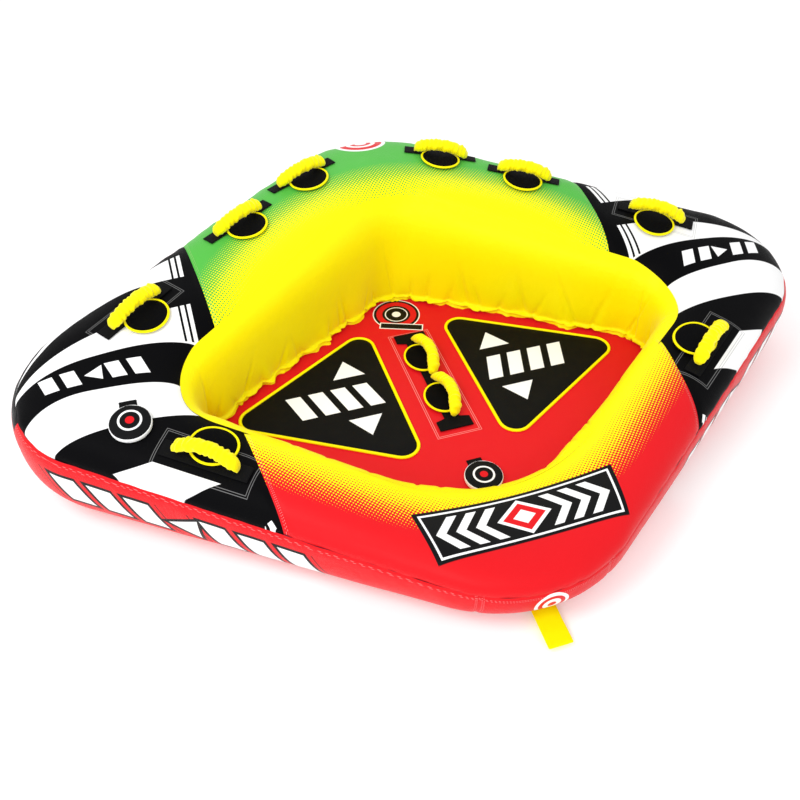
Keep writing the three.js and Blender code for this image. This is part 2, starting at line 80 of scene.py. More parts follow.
DECK_HANDLES = {
    "rear_inner": ((0.255, 0.683), (-0.200, 0.075)),
    "rear_outer": ((0.510, 0.512), (-0.180, 0.100)),
    "side": ((0.877, 0.208), (-0.175, 0.130)),
    "front": ((0.767, -0.349), (0.230, 0.163)),
}
SEAT_HANDLE_Y = 0.014
SEAT_HANDLE_APART = 0.104

EDGE_STEPS, ARC_STEPS = 120, 44
WELD = 2e-5


# ---- shape of the ring ------------------------------------------------------
def unit(angle):
    return np.array([math.cos(angle), math.sin(angle)])


def outline(front, side, back, radii):
    """A rounded rhombus, anticlockwise from its front point."""
    front_r, side_r, back_r = radii
    front_edge = math.atan2(side[1] - front[1], side[0] - front[0])
    back_edge = math.atan2(back[1] - side[1], back[0] - side[0])
    cut = side_r * math.tan((back_edge - front_edge) / 2)
    corner = np.array(side)
    side_in = corner - cut * unit(front_edge)
    side_out = corner + cut * unit(back_edge)
    quarter = math.pi / 2
    side_centre = side_in + side_r * unit(front_edge + quarter)
    front_centre = np.array([0, front[1] + front_r / math.cos(front_edge)])
    back_centre = np.array([0, back[1] - back_r / math.cos(math.pi - back_edge)])

    def arc(centre, radius, start, end, steps):
        t = start + (end - start) * np.arange(steps) / steps
        return centre + radius * np.stack([np.cos(t), np.sin(t)], 1)

    def straight(a, b, steps):
        return a + (b - a) * (np.arange(steps) / steps)[:, None]

    back_arc = arc(back_centre, back_r, back_edge - quarter, quarter, ARC_STEPS)
    right = np.concatenate([
        arc(front_centre, front_r, -quarter, front_edge - quarter, ARC_STEPS),
        straight(front_centre + front_r * unit(front_edge - quarter), side_in, EDGE_STEPS),
        arc(side_centre, side_r, front_edge - quarter, back_edge - quarter, 2 * ARC_STEPS),
        straight(side_out, back_arc[0], EDGE_STEPS),
        back_arc,
    ])
    left = right[1:][::-1] * [-1, 1]
    return np.concatenate([right, [[0, back_centre[1] + back_r]], left])


outer_line = outline(**OUTER)
cockpit_line = outline(**COCKPIT)
bolster_line = outline(**BOLSTER)
STATIONS = len(outer_line)
middle_line = (outer_line + cockpit_line) / 2
crest_line = CREST_AT_MIDDLE + CREST_SLOPE * middle_line[:, 1]


def section(angles):
    """Points of the ring's surface: one row per station, one column per angle round its section."""
    half = (outer_line - cockpit_line) / 2
    widest = MIDDLE_SHARE * crest_line
    cos, sin = np.cos(angles), np.sin(angles)
    power = np.where(sin > 0, TOP_POWER, np.where(cos > 0, BOTTOM_POWER, INNER_WALL_POWER))
    across = np.sign(cos) * np.abs(cos) ** (2 / power)
    rise = np.sign(sin) * np.abs(sin) ** (2 / power)
    height = np.where(sin > 0, (crest_line - widest)[:, None], widest[:, None])
    return np.stack([
        middle_line[:, :1] + half[:, :1] * across,
        middle_line[:, 1:] + half[:, 1:] * across,
        widest[:, None] + height * rise,
    ], 2)


FINE = 700
fine_angles = np.linspace(math.radians(-88), math.radians(262), FINE)
fine = section(np.broadcast_to(fine_angles, (STATIONS, FINE)))
fine_length = np.concatenate([
    np.zeros((STATIONS, 1)),
    np.cumsum(np.linalg.norm(np.diff(fine, axis=1), axis=2), axis=1),
], 1)


def length_at(test):
    """Arc length round each station's section where a condition first holds, with interpolation."""
    first = np.argmax(test > 0, axis=1)
    rows = np.arange(STATIONS)
    before, after = test[rows, first - 1], test[rows, first]
    share = before / (before - after)
    return fine_length[rows, first - 1] * (1 - share) + fine_length[rows, first] * share


seam_height = (SEAM_AT_MIDDLE + SEAM_SLOPE * outer_line[:, 1])[:, None]
on_top = np.sin(fine_angles)[None, :] > 0.02
seam_at = length_at(np.where((np.cos(fine_angles) > 0)[None, :] & (fine_angles > 0)[None, :],
                             fine[:, :, 2] - seam_height, -1.0))
inner_side = (fine_angles > math.pi / 2)[None, :]
foot_at = length_at(np.where(inner_side, SEAT_TOP - 0.003 - fine[:, :, 2], -1.0))
band_end_at = length_at(np.broadcast_to(fine_angles - BAND_END, (STATIONS, FINE)))
polar = np.arctan2(bolster_line[:, 1], bolster_line[:, 0])
order = np.argsort(polar)
polar_radius = np.hypot(bolster_line[:, 0], bolster_line[:, 1])[order]
reach = np.interp(np.arctan2(fine[:, :, 1], fine[:, :, 0]), polar[order], polar_radius, period=2 * math.pi)
bolster_at = length_at(np.where(on_top | inner_side, reach - np.hypot(fine[:, :, 0], fine[:, :, 1]), -1.0))


def surface(lengths):
    """Points at the given arc lengths round each station's section."""
    result = np.empty(lengths.shape + (3,))
    for s in range(STATIONS):
        for k in range(3):
            result[s, :, k] = np.interp(lengths[s], fine_length[s], fine[s, :, k])
    return result


def between(start, end, steps):
    t = np.linspace(0, 1, steps)[None, :]
    return start[:, None] * (1 - t) + end[:, None] * t


section_centre = np.column_stack([middle_line, MIDDLE_SHARE * crest_line])


def normals_of(points):
    """Outward normals of a stretch of the ring's surface."""
    along = np.roll(points, -1, 0) - np.roll(points, 1, 0)
    across = np.gradient(points, axis=1)
    normal = np.cross(along, across)
    normal /= np.maximum(np.linalg.norm(normal, axis=2, keepdims=True), 1e-9)
    outward = ((points - section_centre[:, None]) * normal).sum(2, keepdims=True)
    return normal * np.sign(outward)


def perimeter(points):
    step = np.linalg.norm(np.roll(points, -1, 0) - points, axis=1)
    return np.concatenate([[0], np.cumsum(step)[:-1]]), step.sum()


def bell(distance, width):
    return np.exp(-(distance / width) ** 2)


def offset_from(centre, along, total, drift):
    """Distance along a closed seam from a fold, which drifts sideways as it runs away from the seam."""
    off = along[:, None] + drift - centre
    return (off + total / 2) % total - total / 2


def gathers(along, total, depth_from_seam, pitch, depth, spread, slant=0.25):
    """Folds that start at a gathered seam: ridges of random size that fade away from it."""
    count = int(total / pitch)
    centres = (np.arange(count) + random.uniform(-0.4, 0.4, count)) * total / count
    sizes = random.uniform(0.25, 1.0, count) ** 1.5
    widths = random.uniform(0.28, 0.6, count) * pitch
    reaches = random.uniform(0.4, 1.3, count) * spread
    slants = random.uniform(-slant, slant, count)
    result = np.zeros_like(depth_from_seam)
    for centre, size, width, far, lean in zip(centres, sizes, widths, reaches, slants):
        off = offset_from(centre, along, total, lean * depth_from_seam)
        wide = width * (1 + 0.8 * depth_from_seam / far)
        result += size * bell(off, wide) * np.exp(-(depth_from_seam / far) ** 1.6)
    return depth * (result - 0.35 * np.exp(-depth_from_seam / spread))


def creases(along, total, depth_from_seam, pitch, depth, spread):
    """Narrow furrows that run up from a gathered seam."""
    count = int(total / pitch)
    centres = (np.arange(count) + random.uniform(-0.45, 0.45, count)) * total / count
    result = np.zeros_like(depth_from_seam)
    for centre in centres:
        width, far, lean = random.uniform((0.004, 0.4, -0.5), (0.010, 1.2, 0.5))
        off = offset_from(centre, along, total, lean * depth_from_seam)
        result = np.maximum(result, np.exp(-(off / width) ** 2 - (depth_from_seam / (far * spread)) ** 3))
    return depth * result


def flutter(along, total, pitch, seed):
    """Uneven waves along a loose edge, from 0 to 1."""
    rng = np.random.default_rng(seed)
    result = np.zeros_like(along)
    for scale in (0.5, 0.8, 1.0, 1.3, 1.9, 2.7):
        turns = round(total / pitch * scale)
        result += np.sin(2 * math.pi * turns * along / total + rng.uniform(0, 6.28)) / (0.6 + scale)
    return (result - result.min()) / (result.max() - result.min())


def waves(points, scale, seed):
    """Slow, smooth unevenness of cloth over air, from a few sine waves."""
    rng = np.random.default_rng(seed)
    total = np.zeros(points.shape[:-1])
    for _ in range(7):
        direction = rng.normal(size=3)
        direction *= rng.uniform(0.6, 1.6) * scale / np.linalg.norm(direction)
        total += np.sin(points @ direction + rng.uniform(0, 6.28))
    return total / 7


# ---- mesh helpers -----------------------------------------------------------
def new_object(name, mesh, material=None):
    obj = bpy.data.objects.new(name, mesh)
    bpy.context.scene.collection.objects.link(obj)
    if material:
        mesh.materials.append(material)
    return obj


def smooth_shaded(mesh):
    mesh.polygons.foreach_set("use_smooth", [True] * len(mesh.polygons))
    return mesh


def grid_mesh(name, points, wrap_rows=True, wrap_columns=False):
    rows, columns = points.shape[:2]
    row = np.arange(rows if wrap_rows else rows - 1)
    column = np.arange(columns if wrap_columns else columns - 1)
    r, c = np.meshgrid(row, column, indexing="ij")
    r2, c2 = (r + 1) % rows, (c + 1) % columns
    faces = np.stack([r * columns + c, r2 * columns + c, r2 * columns + c2, r * columns + c2], 2)
    mesh = bpy.data.meshes.new(name)
    mesh.from_pydata(points.reshape(-1, 3).tolist(), [], faces.reshape(-1, 4).tolist())
    smooth_shaded(mesh)
    mesh.update()
    return mesh


def vertex_array(mesh, attribute):
    values = np.empty(len(mesh.vertices) * 3)
    mesh.vertices.foreach_get(attribute, values)
    return values.reshape(-1, 3)


def finished(name, work, smooth=True):
    """Turns a work mesh into a mesh, with smooth shading unless told otherwise."""
    mesh = bpy.data.meshes.new(name)
    work.to_mesh(mesh)
    work.free()
    return smooth_shaded(mesh) if smooth else mesh


def capped(name, points):
    """A tube swept through rings of points, closed at both ends."""
    work = bmesh.new()
    work.from_mesh(grid_mesh(name, points, wrap_rows=False, wrap_columns=True))
    bmesh.ops.holes_fill(work, edges=work.edges[:])
    bmesh.ops.recalc_face_normals(work, faces=work.faces[:])
    return finished(name, work, smooth=False)


def cut(mesh, *planes):
    """A copy of the mesh with everything on the far side of each plane cut away: (point, outward normal)."""
    work = bmesh.new()
    work.from_mesh(mesh)
    for point, normal in planes:
        geometry = work.verts[:] + work.edges[:] + work.faces[:]
        bmesh.ops.bisect_plane(work, geom=geometry, plane_co=point, plane_no=normal, clear_outer=True,
                               dist=1e-6)
    return finished(mesh.name, work)


def joined(name, *meshes):
    work = bmesh.new()
    for mesh in meshes:
        work.from_mesh(mesh)
    bmesh.ops.remove_doubles(work, verts=work.verts[:], dist=WELD)
    return finished(name, work)


def full_turn(sides):
    return np.arange(sides) * 2 * math.pi / sides


def webbing_section(half_width, half_thick, sides=16):
    """Round a webbing strap's section, with softly rounded selvedges: across and up."""
    cos, sin = np.cos(full_turn(sides)), np.sin(full_turn(sides))
    return (half_width * np.sign(cos) * np.abs(cos) ** 0.25, half_thick * np.sign(sin) * np.abs(sin) ** 0.6)


def lathe_mesh(name, profile, sides=64):
    turn = full_turn(sides)
    r, z = np.array(profile).T
    points = np.stack([
        np.cos(turn)[:, None] * r[None, :],
        np.sin(turn)[:, None] * r[None, :],
        np.broadcast_to(z, (sides, len(r))),
    ], 2)
    return joined(name, grid_mesh(name, points))


def rounded_profile(corners, radius, steps=4):
    """An open profile with each inner corner rounded."""
    points = [np.array(corners[0], float)]
    for before, corner, after in zip(corners, corners[1:], corners[2:]):
        before, corner, after = map(lambda p: np.array(p, float), (before, corner, after))
        to_before, to_after = before - corner, after - corner
        take = min(radius, 0.49 * np.linalg.norm(to_before), 0.49 * np.linalg.norm(to_after))
        start = corner + to_before / np.linalg.norm(to_before) * take
        end = corner + to_after / np.linalg.norm(to_after) * take
        for t in np.linspace(0, 1, steps + 1):
            points.append((1 - t) ** 2 * start + 2 * t * (1 - t) * corner + t * t * end)
    points.append(np.array(corners[-1], float))
    return points


def moved(mesh, matrix):
    copy = mesh.copy()
    copy.transform(matrix)
    if matrix.determinant() < 0:
        copy.flip_normals()
    return copy


def place(name, mesh, look, *replaced, body=BODY, slot=None, at=None):
    """Adds a piece that rides a body, moved to its place if its mesh was made in a frame of its own."""
    mesh = mesh if at is None else moved(mesh, at)
    mesh.name = name
    material, usual_slot = looks[look]
    obj = new_object(name, mesh, material)
    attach(obj, body)
    if replaced:
        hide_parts(*replaced)


# ---- materials --------------------------------------------------------------
RED = (0.69, 0.007, 0.012)
YELLOW = (0.96, 0.85, 0.0)
GREEN = (0.080, 0.45, 0.055)
WHITE = (0.90, 0.90, 0.90)
BLACK = (0.002, 0.002, 0.0025)


def set_inputs(node, values):
    for socket, value in values.items():
        node.inputs[socket].default_value = value


class Field:
    """A number that varies over a surface, made of shader maths nodes."""

    def __init__(self, paint, socket):
        self.paint, self.socket = paint, socket

    def op(self, operation, *others, clamp=False):
        node = self.paint.node("Math")
        node.operation = operation
        node.use_clamp = clamp
        for slot, value in zip(node.inputs, (self,) + others):
            if isinstance(value, Field):
                self.paint.link(value.socket, slot)
            else:
                slot.default_value = value
        return Field(self.paint, node.outputs[0])

    __add__ = partialmethod(op, "ADD")
    __sub__ = partialmethod(op, "SUBTRACT")
    __mul__ = partialmethod(op, "MULTIPLY")
    __truediv__ = partialmethod(op, "DIVIDE")
    __neg__ = partialmethod(op, "MULTIPLY", -1.0)
    low = partialmethod(op, "MINIMUM")
    high = partialmethod(op, "MAXIMUM")
    size = partialmethod(op, "ABSOLUTE")
    root = partialmethod(op, "SQRT")
    wave = partialmethod(op, "SINE")
    clamped = partialmethod(op, "ADD", 0.0, clamp=True)

    def __rsub__(self, other):
        return -self + other

    def ring(self, radius, half_width):
        """Negative within a band on either side of a level."""
        return (self - radius).size() - half_width

    def inside(self, soft=0.0006):
        """1 where the field is below zero, 0 above, with a soft edge."""
        return (self * (-1.0 / soft)).op("ADD", 0.5, clamp=True)


class Paint:
    """A cloth, plastic or rubber material: printed patterns, weave and fold noise, in the tube's frame."""

    def __init__(self, name, roughness=0.5, sheen=0.0, coat=0.0, specular=0.10):
        self.material = bpy.data.materials.new(name)
        self.material.use_nodes = True
        self.tree = self.material.node_tree
        self.link = self.tree.links.new
        self.shader = self.tree.nodes["Principled BSDF"]
        set_inputs(self.shader, {"Roughness": roughness, "Sheen Weight": sheen, "Sheen Roughness": 0.4,
                                 "Coat Weight": coat, "Coat Roughness": 0.25, "Specular IOR Level": specular})
        self.position = self.node("TexCoord").outputs["Object"]
        split = self.node("SeparateXYZ")
        self.link(self.position, split.inputs[0])
        self.x, self.y, self.z = (Field(self, s) for s in split.outputs)
        self.ax = self.x.size()
        self.colour = None
        self.height = None

    def node(self, kind):
        return self.tree.nodes.new("ShaderNode" + kind)

    def start(self, rgb):
        node = self.node("RGB")
        node.outputs[0].default_value = (*rgb, 1)
        self.colour = node.outputs[0]
        return self

    def over(self, mask, rgb):
        """Paints a colour over the pattern where the mask is 1."""
        node = self.node("Mix")
        node.data_type = "RGBA"
        self.link(mask.socket, node.inputs["Factor"])
        self.link(self.colour, node.inputs[6])
        node.inputs[7].default_value = (*rgb, 1)
        self.colour = node.outputs[2]
        return self

    def printed(self, *layers):
        """Prints layers in turn: each is a field, negative inside its shape, and a colour."""
        for field, rgb in layers:
            self.over(field.inside(), rgb)
        return self

    def noise(self, scale, detail=3.0):
        node = self.node("TexNoise")
        set_inputs(node, {"Scale": scale, "Detail": detail})
        self.link(self.position, node.inputs["Vector"])
        return Field(self, node.outputs[0]) - 0.5

    def weave(self, pitch=0.0016, depth=0.00012):
        k = math.pi / pitch
        warp = ((self.x + self.z * 0.7) * k).wave()
        weft = ((self.y - self.z * 0.7) * k).wave()
        return self.raised(warp * weft * depth)

    def raised(self, field):
        self.height = field if self.height is None else self.height + field
        return self

    def done(self, tone=0.06, wear=0.05):
        """Adds a little colour and roughness variation, and links everything up."""
        variation = self.noise(7.0) * tone + self.noise(160.0, 2.0) * tone * 0.6
        hue = self.node("HueSaturation")
        self.link((variation + 1.0).socket, hue.inputs["Value"])
        self.link(self.colour, hue.inputs["Color"])
        self.link(hue.outputs[0], self.shader.inputs["Base Color"])
        rough = self.noise(23.0) * wear * 4 + self.shader.inputs["Roughness"].default_value
        self.link(rough.clamped().socket, self.shader.inputs["Roughness"])
        if self.height is not None:
            bump = self.node("Bump")
            set_inputs(bump, {"Distance": 1.0})
            self.link(self.height.socket, bump.inputs["Height"])
            self.link(bump.outputs[0], self.shader.inputs["Normal"])
        return self.material


def hypot(a, b):
    return (a * a + b * b).root()


def halftone(paint, amount, pitch=0.0085):
    """Dots that grow with the amount, from none at 0 to solid at 1."""
    k = 2 * math.pi / pitch / math.sqrt(2)
    cell = ((paint.x + paint.y) * k).wave() + ((paint.x - paint.y) * k).wave()
    level = cell * 0.25 + 0.5
    return ((level + amount * 1.07 - 1.0) * 14.0).op("ADD", 0.5, clamp=True)


def stitches(paint, distance, along, offset=0.006, gap=0.004, rgb=(0.9, 0.35, 0.36)):
    """Two rows of stitching beside a seam, as fine dashes in a shallow groove."""
    for row in (offset, offset + gap):
        line = distance.size().ring(row, 0.0008).inside(0.0005)
        dash = (along * (2 * math.pi / 0.006)).wave()
        thread = line * (dash - 0.2).op("MULTIPLY", 4.0, clamp=True)
        paint.over(thread * 0.5, rgb)
        paint.raised(line * -0.0006 + thread * 0.0005)
    return paint


def sewn_outline(paint, edge, strength, rgb):
    """Two fine lines of thread, on a shape's edge and just inside it."""
    for inset in (0.0, 0.006):
        paint.over(edge.ring(-inset, 0.0009).inside(0.0005) * strength, rgb)


def slanted_bars(u, v, half_length, half_height, count, slant=0.35):
    """A row of plain leaning bars, negative inside them: u runs along the row."""
    pitch = 2 * half_length / count
    leaning = u - v * slant
    cell = (leaning / pitch + 0.5 * (count % 2)).op("FRACT")
    bar = ((cell - 0.5).size() * pitch - pitch * 0.33).high(v.size() - half_height)
    return bar.high(leaning.size() - half_length)


def bars_and_arrow(u, v, half_length, half_height, count, slant=0.35):
    """The same row with an outward arrowhead in place of its middle bar; the count is odd."""
    pitch = 2 * half_length / count
    bars = slanted_bars(u, v, half_length, half_height, count, slant)
    arrow = triangle(v, u + pitch * 0.40, half_height * 0.9, pitch * 0.80)
    return bars.high(pitch * 0.5 - (u - v * slant).size()).low(arrow)


def triangle(x, y, half_width, height):
    """Negative inside a triangle that points to +y, with its base on y = 0."""
    slope = math.hypot(half_width, height)
    sides = x.size() * (height / slope) + (y - height) * (half_width / slope)
    return sides.high(-y)


FRONT_EDGE = math.atan2(COCKPIT["side"][1] - COCKPIT["front"][1], COCKPIT["side"][0])
COS_FRONT, SIN_FRONT = math.cos(FRONT_EDGE), math.sin(FRONT_EDGE)


def cockpit_distance(p):
    """Plan distance outwards from the front half of the cockpit's outline."""
    radius = COCKPIT["radii"][0]
    centre_y = COCKPIT["front"][1] + radius / COS_FRONT
    up = p.y - centre_y
    arc = hypot(p.x, up) - radius
    edge = p.ax * SIN_FRONT - (p.y - COCKPIT["front"][1]) * COS_FRONT
    on_arc = (p.ax + up * (SIN_FRONT / COS_FRONT)).inside(0.002)
    return arc * on_arc + edge * (1.0 - on_arc)


def seam_distance(ax, y, seam):
    """Distance outwards from a slanting seam across the deck, for arrays and shader fields alike."""
    return ax - (y - seam["y"]) * seam["lean"] - seam["x"]


def front_panel_material():
    p = Paint("front_cloth", roughness=0.42, sheen=0.05, coat=0.03).start(YELLOW)
    amount = ((cockpit_distance(p) - 0.060) / 0.150).clamped()
    p.over(halftone(p, amount), RED)
    # A plain emblem: a dark plate with chevrons either side of a diamond.
    v = p.y + 0.712
    half_height = 0.078
    plate = (p.ax + v * -0.14 - 0.275).high(v.size() - half_height)
    p.over(plate.inside(), BLACK)
    p.over(plate.ring(0.0, 0.0035).inside() * (v.size() - half_height).inside(0.004), BLACK)
    p.over(plate.ring(-0.012, 0.003).inside(), WHITE)
    chevron = p.ax + v.size() * 0.9
    for start in (0.105, 0.160, 0.215):
        arm = chevron.ring(start + 0.018, 0.014)
        p.over(arm.high(v.size() - 0.052).inside(), WHITE)
    diamond = p.ax * 0.75 + v.size() - 0.058
    p.printed((diamond, WHITE), (diamond + 0.012, RED), (diamond + 0.034, WHITE))
    stitches(p, seam_distance(p.ax, p.y, FRONT_SEAM), p.y)
    return p.weave().done()


def rear_panel_material():
    p = Paint("rear_cloth", roughness=0.42, sheen=0.05, coat=0.03).start(YELLOW)
    amount = ((hypot(p.x, p.y + 0.175) - 0.670) / 0.17).clamped()
    p.over(halftone(p, amount), GREEN)
    badge = hypot(p.x, (p.y - 0.835) * 1.15)
    p.printed((badge - 0.092, WHITE), (badge - 0.078, RED), (badge.ring(0.046, 0.008), WHITE),
              (badge - 0.022, WHITE))
    stitches(p, seam_distance(p.ax, p.y, REAR_SEAM), p.y, rgb=(0.55, 0.75, 0.3))
    return p.weave().done()


def side_panel_material():
    """Black and white stripes across the deck, whose edges sweep forward towards the tube's side."""
    p = Paint("side_cloth", roughness=0.45, specular=0.03).start(BLACK)

    def sweep(level, start, bend):
        """Negative in front of a stripe's edge, which leaves its level past a start and bends forward."""
        out = (p.ax - start).high(0.0)
        return p.y - level + out * out * bend

    ripple = (p.ax * 9.0).wave() * 0.006
    # The front stripe stops at the black patch under the front handle, the others by the seams.
    patch = (p.ax - 0.772) * -0.578 + (p.y + 0.356) * 0.816 + 0.036
    rear_end = 0.718 - p.ax
    for front, back, end in (
        (sweep(-0.424, 0.80, -3.0), sweep(-0.302, 0.90, -1.2), patch),
        (sweep(-0.182, 1.02, 0.0), sweep(-0.046, 1.03, 1.2), 0.60 - p.ax),
        (sweep(0.068, 1.02, 0.9), sweep(0.190, 0.80, 0.8), rear_end),
        (sweep(0.308, 0.86, 1.6), sweep(0.428, 0.78, 1.7), rear_end),
        (sweep(0.560, 0.78, 1.9), sweep(0.70, 0.78, 1.9), rear_end),
    ):
        p.over((ripple - front).high(back + ripple).inside(0.0012) * end.inside(), WHITE)
    # Thin lines beside the inner ends of the rear stripes.
    rear = (0.075 - p.y).inside()
    for place_x in (0.733, 0.752):
        p.over(p.ax.ring(place_x, 0.0035).inside() * rear, BLACK)
    # Plain bars in the middle black stripe, and short ones by the front seam.
    bars = bars_and_arrow(p.ax - 1.02, p.y - 0.008, 0.155, 0.027, 5)
    p.over(bars.inside(), WHITE)
    short = slanted_bars(p.ax - 0.648, p.y + 0.552, 0.018, 0.008, 2, slant=0.5)
    p.over(short.inside(), WHITE)
    # Grey stitching round the patches under the handles.
    for kind in ("front", "side"):
        (hx, hy), (rx, ry) = DECK_HANDLES[kind]
        half_length, half_width = 0.142, 0.060
        norm = math.hypot(rx, ry)
        along = (p.ax - hx) * (rx / norm) + (p.y - hy) * (ry / norm)
        across = (p.ax - hx) * (-ry / norm) + (p.y - hy) * (rx / norm)
        sewn_outline(p, (along.size() - half_length).high(across.size() - half_width), 0.5, (0.3, 0.3, 0.3))
    return p.weave().done(tone=0.03)


def backrest_material():
    p = Paint("yellow_cloth", roughness=0.42, sheen=0.1, coat=0.02).start(YELLOW)
    p.raised(p.noise(55.0, 3.0) * 0.0015)
    return p.weave().done()


def band_material():
    p = Paint("red_cloth", roughness=0.40, sheen=0.05, coat=0.04).start(RED)
    # A row of plain leaning bars along each front side.
    along = p.ax * 0.822 + p.y * 0.569
    seam = p.z - (p.y * SEAM_SLOPE + SEAM_AT_MIDDLE)
    bars = bars_and_arrow(along - 0.475, seam + 0.098, 0.390, 0.046, 7, slant=0.5)
    front_side = (p.y + 0.08).inside()
    p.over((bars - 0.011).inside() * front_side, BLACK)
    p.over(bars.inside() * front_side, WHITE)
    stitches(p, p.ax - BAND_SPLIT, p.z)
    stitches(p, seam, p.x + p.y, offset=0.010)
    # The black deck cloth wraps over the edge along the rear sides.
    by_seam = (seam * -1.0 - 0.030).inside(0.002)
    p.over(by_seam * (p.y * -1.0 - 0.04).inside() * (0.69 - p.ax).inside(), BLACK)
    badge = hypot(p.x, p.z - 0.090)
    front = (p.y + 0.5).inside()
    for layer, rgb in ((badge - 0.048, WHITE), (badge.ring(0.032, 0.006), RED), (badge - 0.012, RED)):
        p.over(layer.inside() * front, rgb)
    p.raised(p.noise(18.0, 2.0) * 0.0018)
    return p.weave().done()


def seat_material():
    p = Paint("seat_cloth", roughness=0.45, sheen=0.05, coat=0.02).start(RED)
    badge = hypot(p.x + 0.006, p.y - 0.385)
    p.printed((badge - 0.086, WHITE), (badge - 0.082, BLACK), (badge.ring(0.062, 0.011), RED),
              (badge.ring(0.040, 0.002), WHITE), (badge - 0.016, WHITE))
    banner_x, banner_y = p.x + 0.010, p.y - 0.312
    banner = (banner_x * 0.93 - banner_y * 0.37).size() - 0.078
    banner = banner.high((banner_y * 0.93 + banner_x * 0.37).size() - 0.017)
    p.printed((banner, WHITE), (banner + 0.004, BLACK))
    console = (p.ax - 0.073).high((p.y - 0.006).size() - 0.262)
    sewn_outline(p, console, 0.55, (0.95, 0.45, 0.42))
    p.raised(p.noise(14.0, 2.0) * 0.002)
    return p.weave().done()


def pad_material():
    p = Paint("pad_foam", roughness=0.62).start(BLACK)
    up = triangle(p.ax - 0.262, p.y - 0.100, 0.053, 0.080)
    down = triangle(p.ax - 0.262, -(p.y + 0.100), 0.053, 0.080)
    p.printed((up - 0.001, WHITE), (down - 0.001, WHITE))
    bars = slanted_bars(p.ax - 0.335, p.y, 0.150, 0.055, 4, slant=0.3)
    p.over(bars.inside(), WHITE)
    p.raised(p.noise(420.0, 2.0) * 0.0004)
    return p.done(tone=0.03)


def cover_material(name, centre):
    """A valve cover's cloth, with a plain ring printed round its middle."""
    p = Paint(name, roughness=0.5).start(BLACK)
    radius = hypot(p.x - centre.x, p.y - centre.y)
    p.printed((radius.ring(0.030, 0.003), WHITE), (radius - 0.012, RED))
    return p.weave().done(tone=0.02)


def plain(name, rgb, roughness=0.5, weave=True, tone=0.05, **more):
    p = Paint(name, roughness=roughness, **more).start(rgb)
    if weave:
        p.weave()
    return p.done(tone=tone)


def webbing(name, rgb, thread):
    """Woven strap: a coarse herringbone, with a line of stitching."""
    p = Paint(name, roughness=0.6, specular=0.05).start(rgb)
    rib = ((p.x + p.y) * (math.pi / 0.0022)).wave() * ((p.x - p.y) * (math.pi / 0.0030)).wave()
    p.raised(rib * 0.0003)
    p.over((rib * 0.5 + 0.5) * 0.25, thread)
    return p.done(tone=0.05)


# Each look is a material and a slot name, which nothing in the script uses.
looks = {
    "front": (front_panel_material(), "front_cloth"),
    "rear": (rear_panel_material(), "rear_cloth"),
    "side": (side_panel_material(), "side_cloth"),
    "backrest": (backrest_material(), "yellow_cloth"),
    "band": (band_material(), "red_cloth"),
    "seat": (seat_material(), "seat_cloth"),
    "pad": (pad_material(), "guard_rubber"),
    "bottom": (plain("bottom_cloth", BLACK, 0.55), "bottom_cloth"),
    "grip": (plain("grip_cloth", YELLOW, 0.5, sheen=0.2), "grip_cloth"),
    "guard": (plain("guard_rubber", BLACK, 0.6, tone=0.02, specular=0.03), "guard_rubber"),
    "piping": (plain("yellow_piping", YELLOW, 0.45), "grip_cloth"),
    "strap": (webbing("black_webbing", BLACK, (0.02, 0.02, 0.02)), "black_webbing"),
    "tow": (webbing("yellow_webbing", YELLOW, (0.85, 0.62, 0.0)), "yellow_webbing"),
    "edge": (plain("white_edge", WHITE, 0.5, tone=0.02), "cover_cloth"),
    "plastic": (plain("valve_plastic", (0.012, 0.012, 0.014), 0.35, weave=False, tone=0.03), "valve_plastic"),
    "stem": (plain("valve_stem", RED, 0.35, weave=False), "valve_stem"),
    "chamber": (plain("chamber_vinyl", (0.03, 0.06, 0.11), 0.3, weave=False), None),
    "zip": (webbing("zip_tape", BLACK, (0.03, 0.03, 0.03)), "zip_tape"),
}

# ---- ring cover -------------------------------------------------------------
def line_round(lengths):
    """A closed line on the surface, the distance along it at each point, and its whole length."""
    line = surface(lengths[:, None])[:, 0]
    return line, *perimeter(line)


foot_line, foot_along, foot_total = line_round(foot_at)
seam_line, seam_along, seam_total = line_round(seam_at)
bolster_seam, bolster_along, bolster_total = line_round(bolster_at)


def rear_share(y):
    """0 at the front of the cockpit, 1 round the seat back."""
    t = np.clip((y + 0.26) / 0.10, 0, 1)
    return t * t * (3 - 2 * t)


def panel_dip(points, reach_of=0.010, depth=0.0035):
    """A shallow valley along the two seams across the deck."""
    x, y = np.abs(points[..., 0]), points[..., 1]
    distance = np.where(y < 0, seam_distance(x, y, FRONT_SEAM), seam_distance(x, y, REAR_SEAM))
    return -depth * bell(distance, reach_of)


DECK_ROWS, WALL_ROWS, RUFFLE_ROWS, BAND_ROWS = 60, 58, 22, 56
deck_lengths = between(seam_at, bolster_at, DECK_ROWS)
deck = surface(deck_lengths)
deck_normal = normals_of(deck)
from_seam = deck_lengths - seam_at[:, None]
from_bolster = bolster_at[:, None] - deck_lengths
is_rear = rear_share(bolster_seam[:, 1])[:, None]
deck_push = panel_dip(deck) + 0.0012 * waves(deck, 14, 3)
deck_push += gathers(seam_along, seam_total, from_seam, 0.045, 0.0022, 0.030)
deck_push -= 0.003 * bell(from_seam, 0.008)
seam_flutter = 0.007 * (flutter(seam_along, seam_total, 0.150, 21) - 0.6)
seam_flutter *= np.clip(seam_line[:, 1] * 3, 0, 1)
deck_push += seam_flutter[:, None] * bell(from_seam, 0.060)
deck_push -= is_rear * 0.0012 * bell(from_bolster, 0.008)
deck_points = deck + deck_normal * deck_push[..., None]

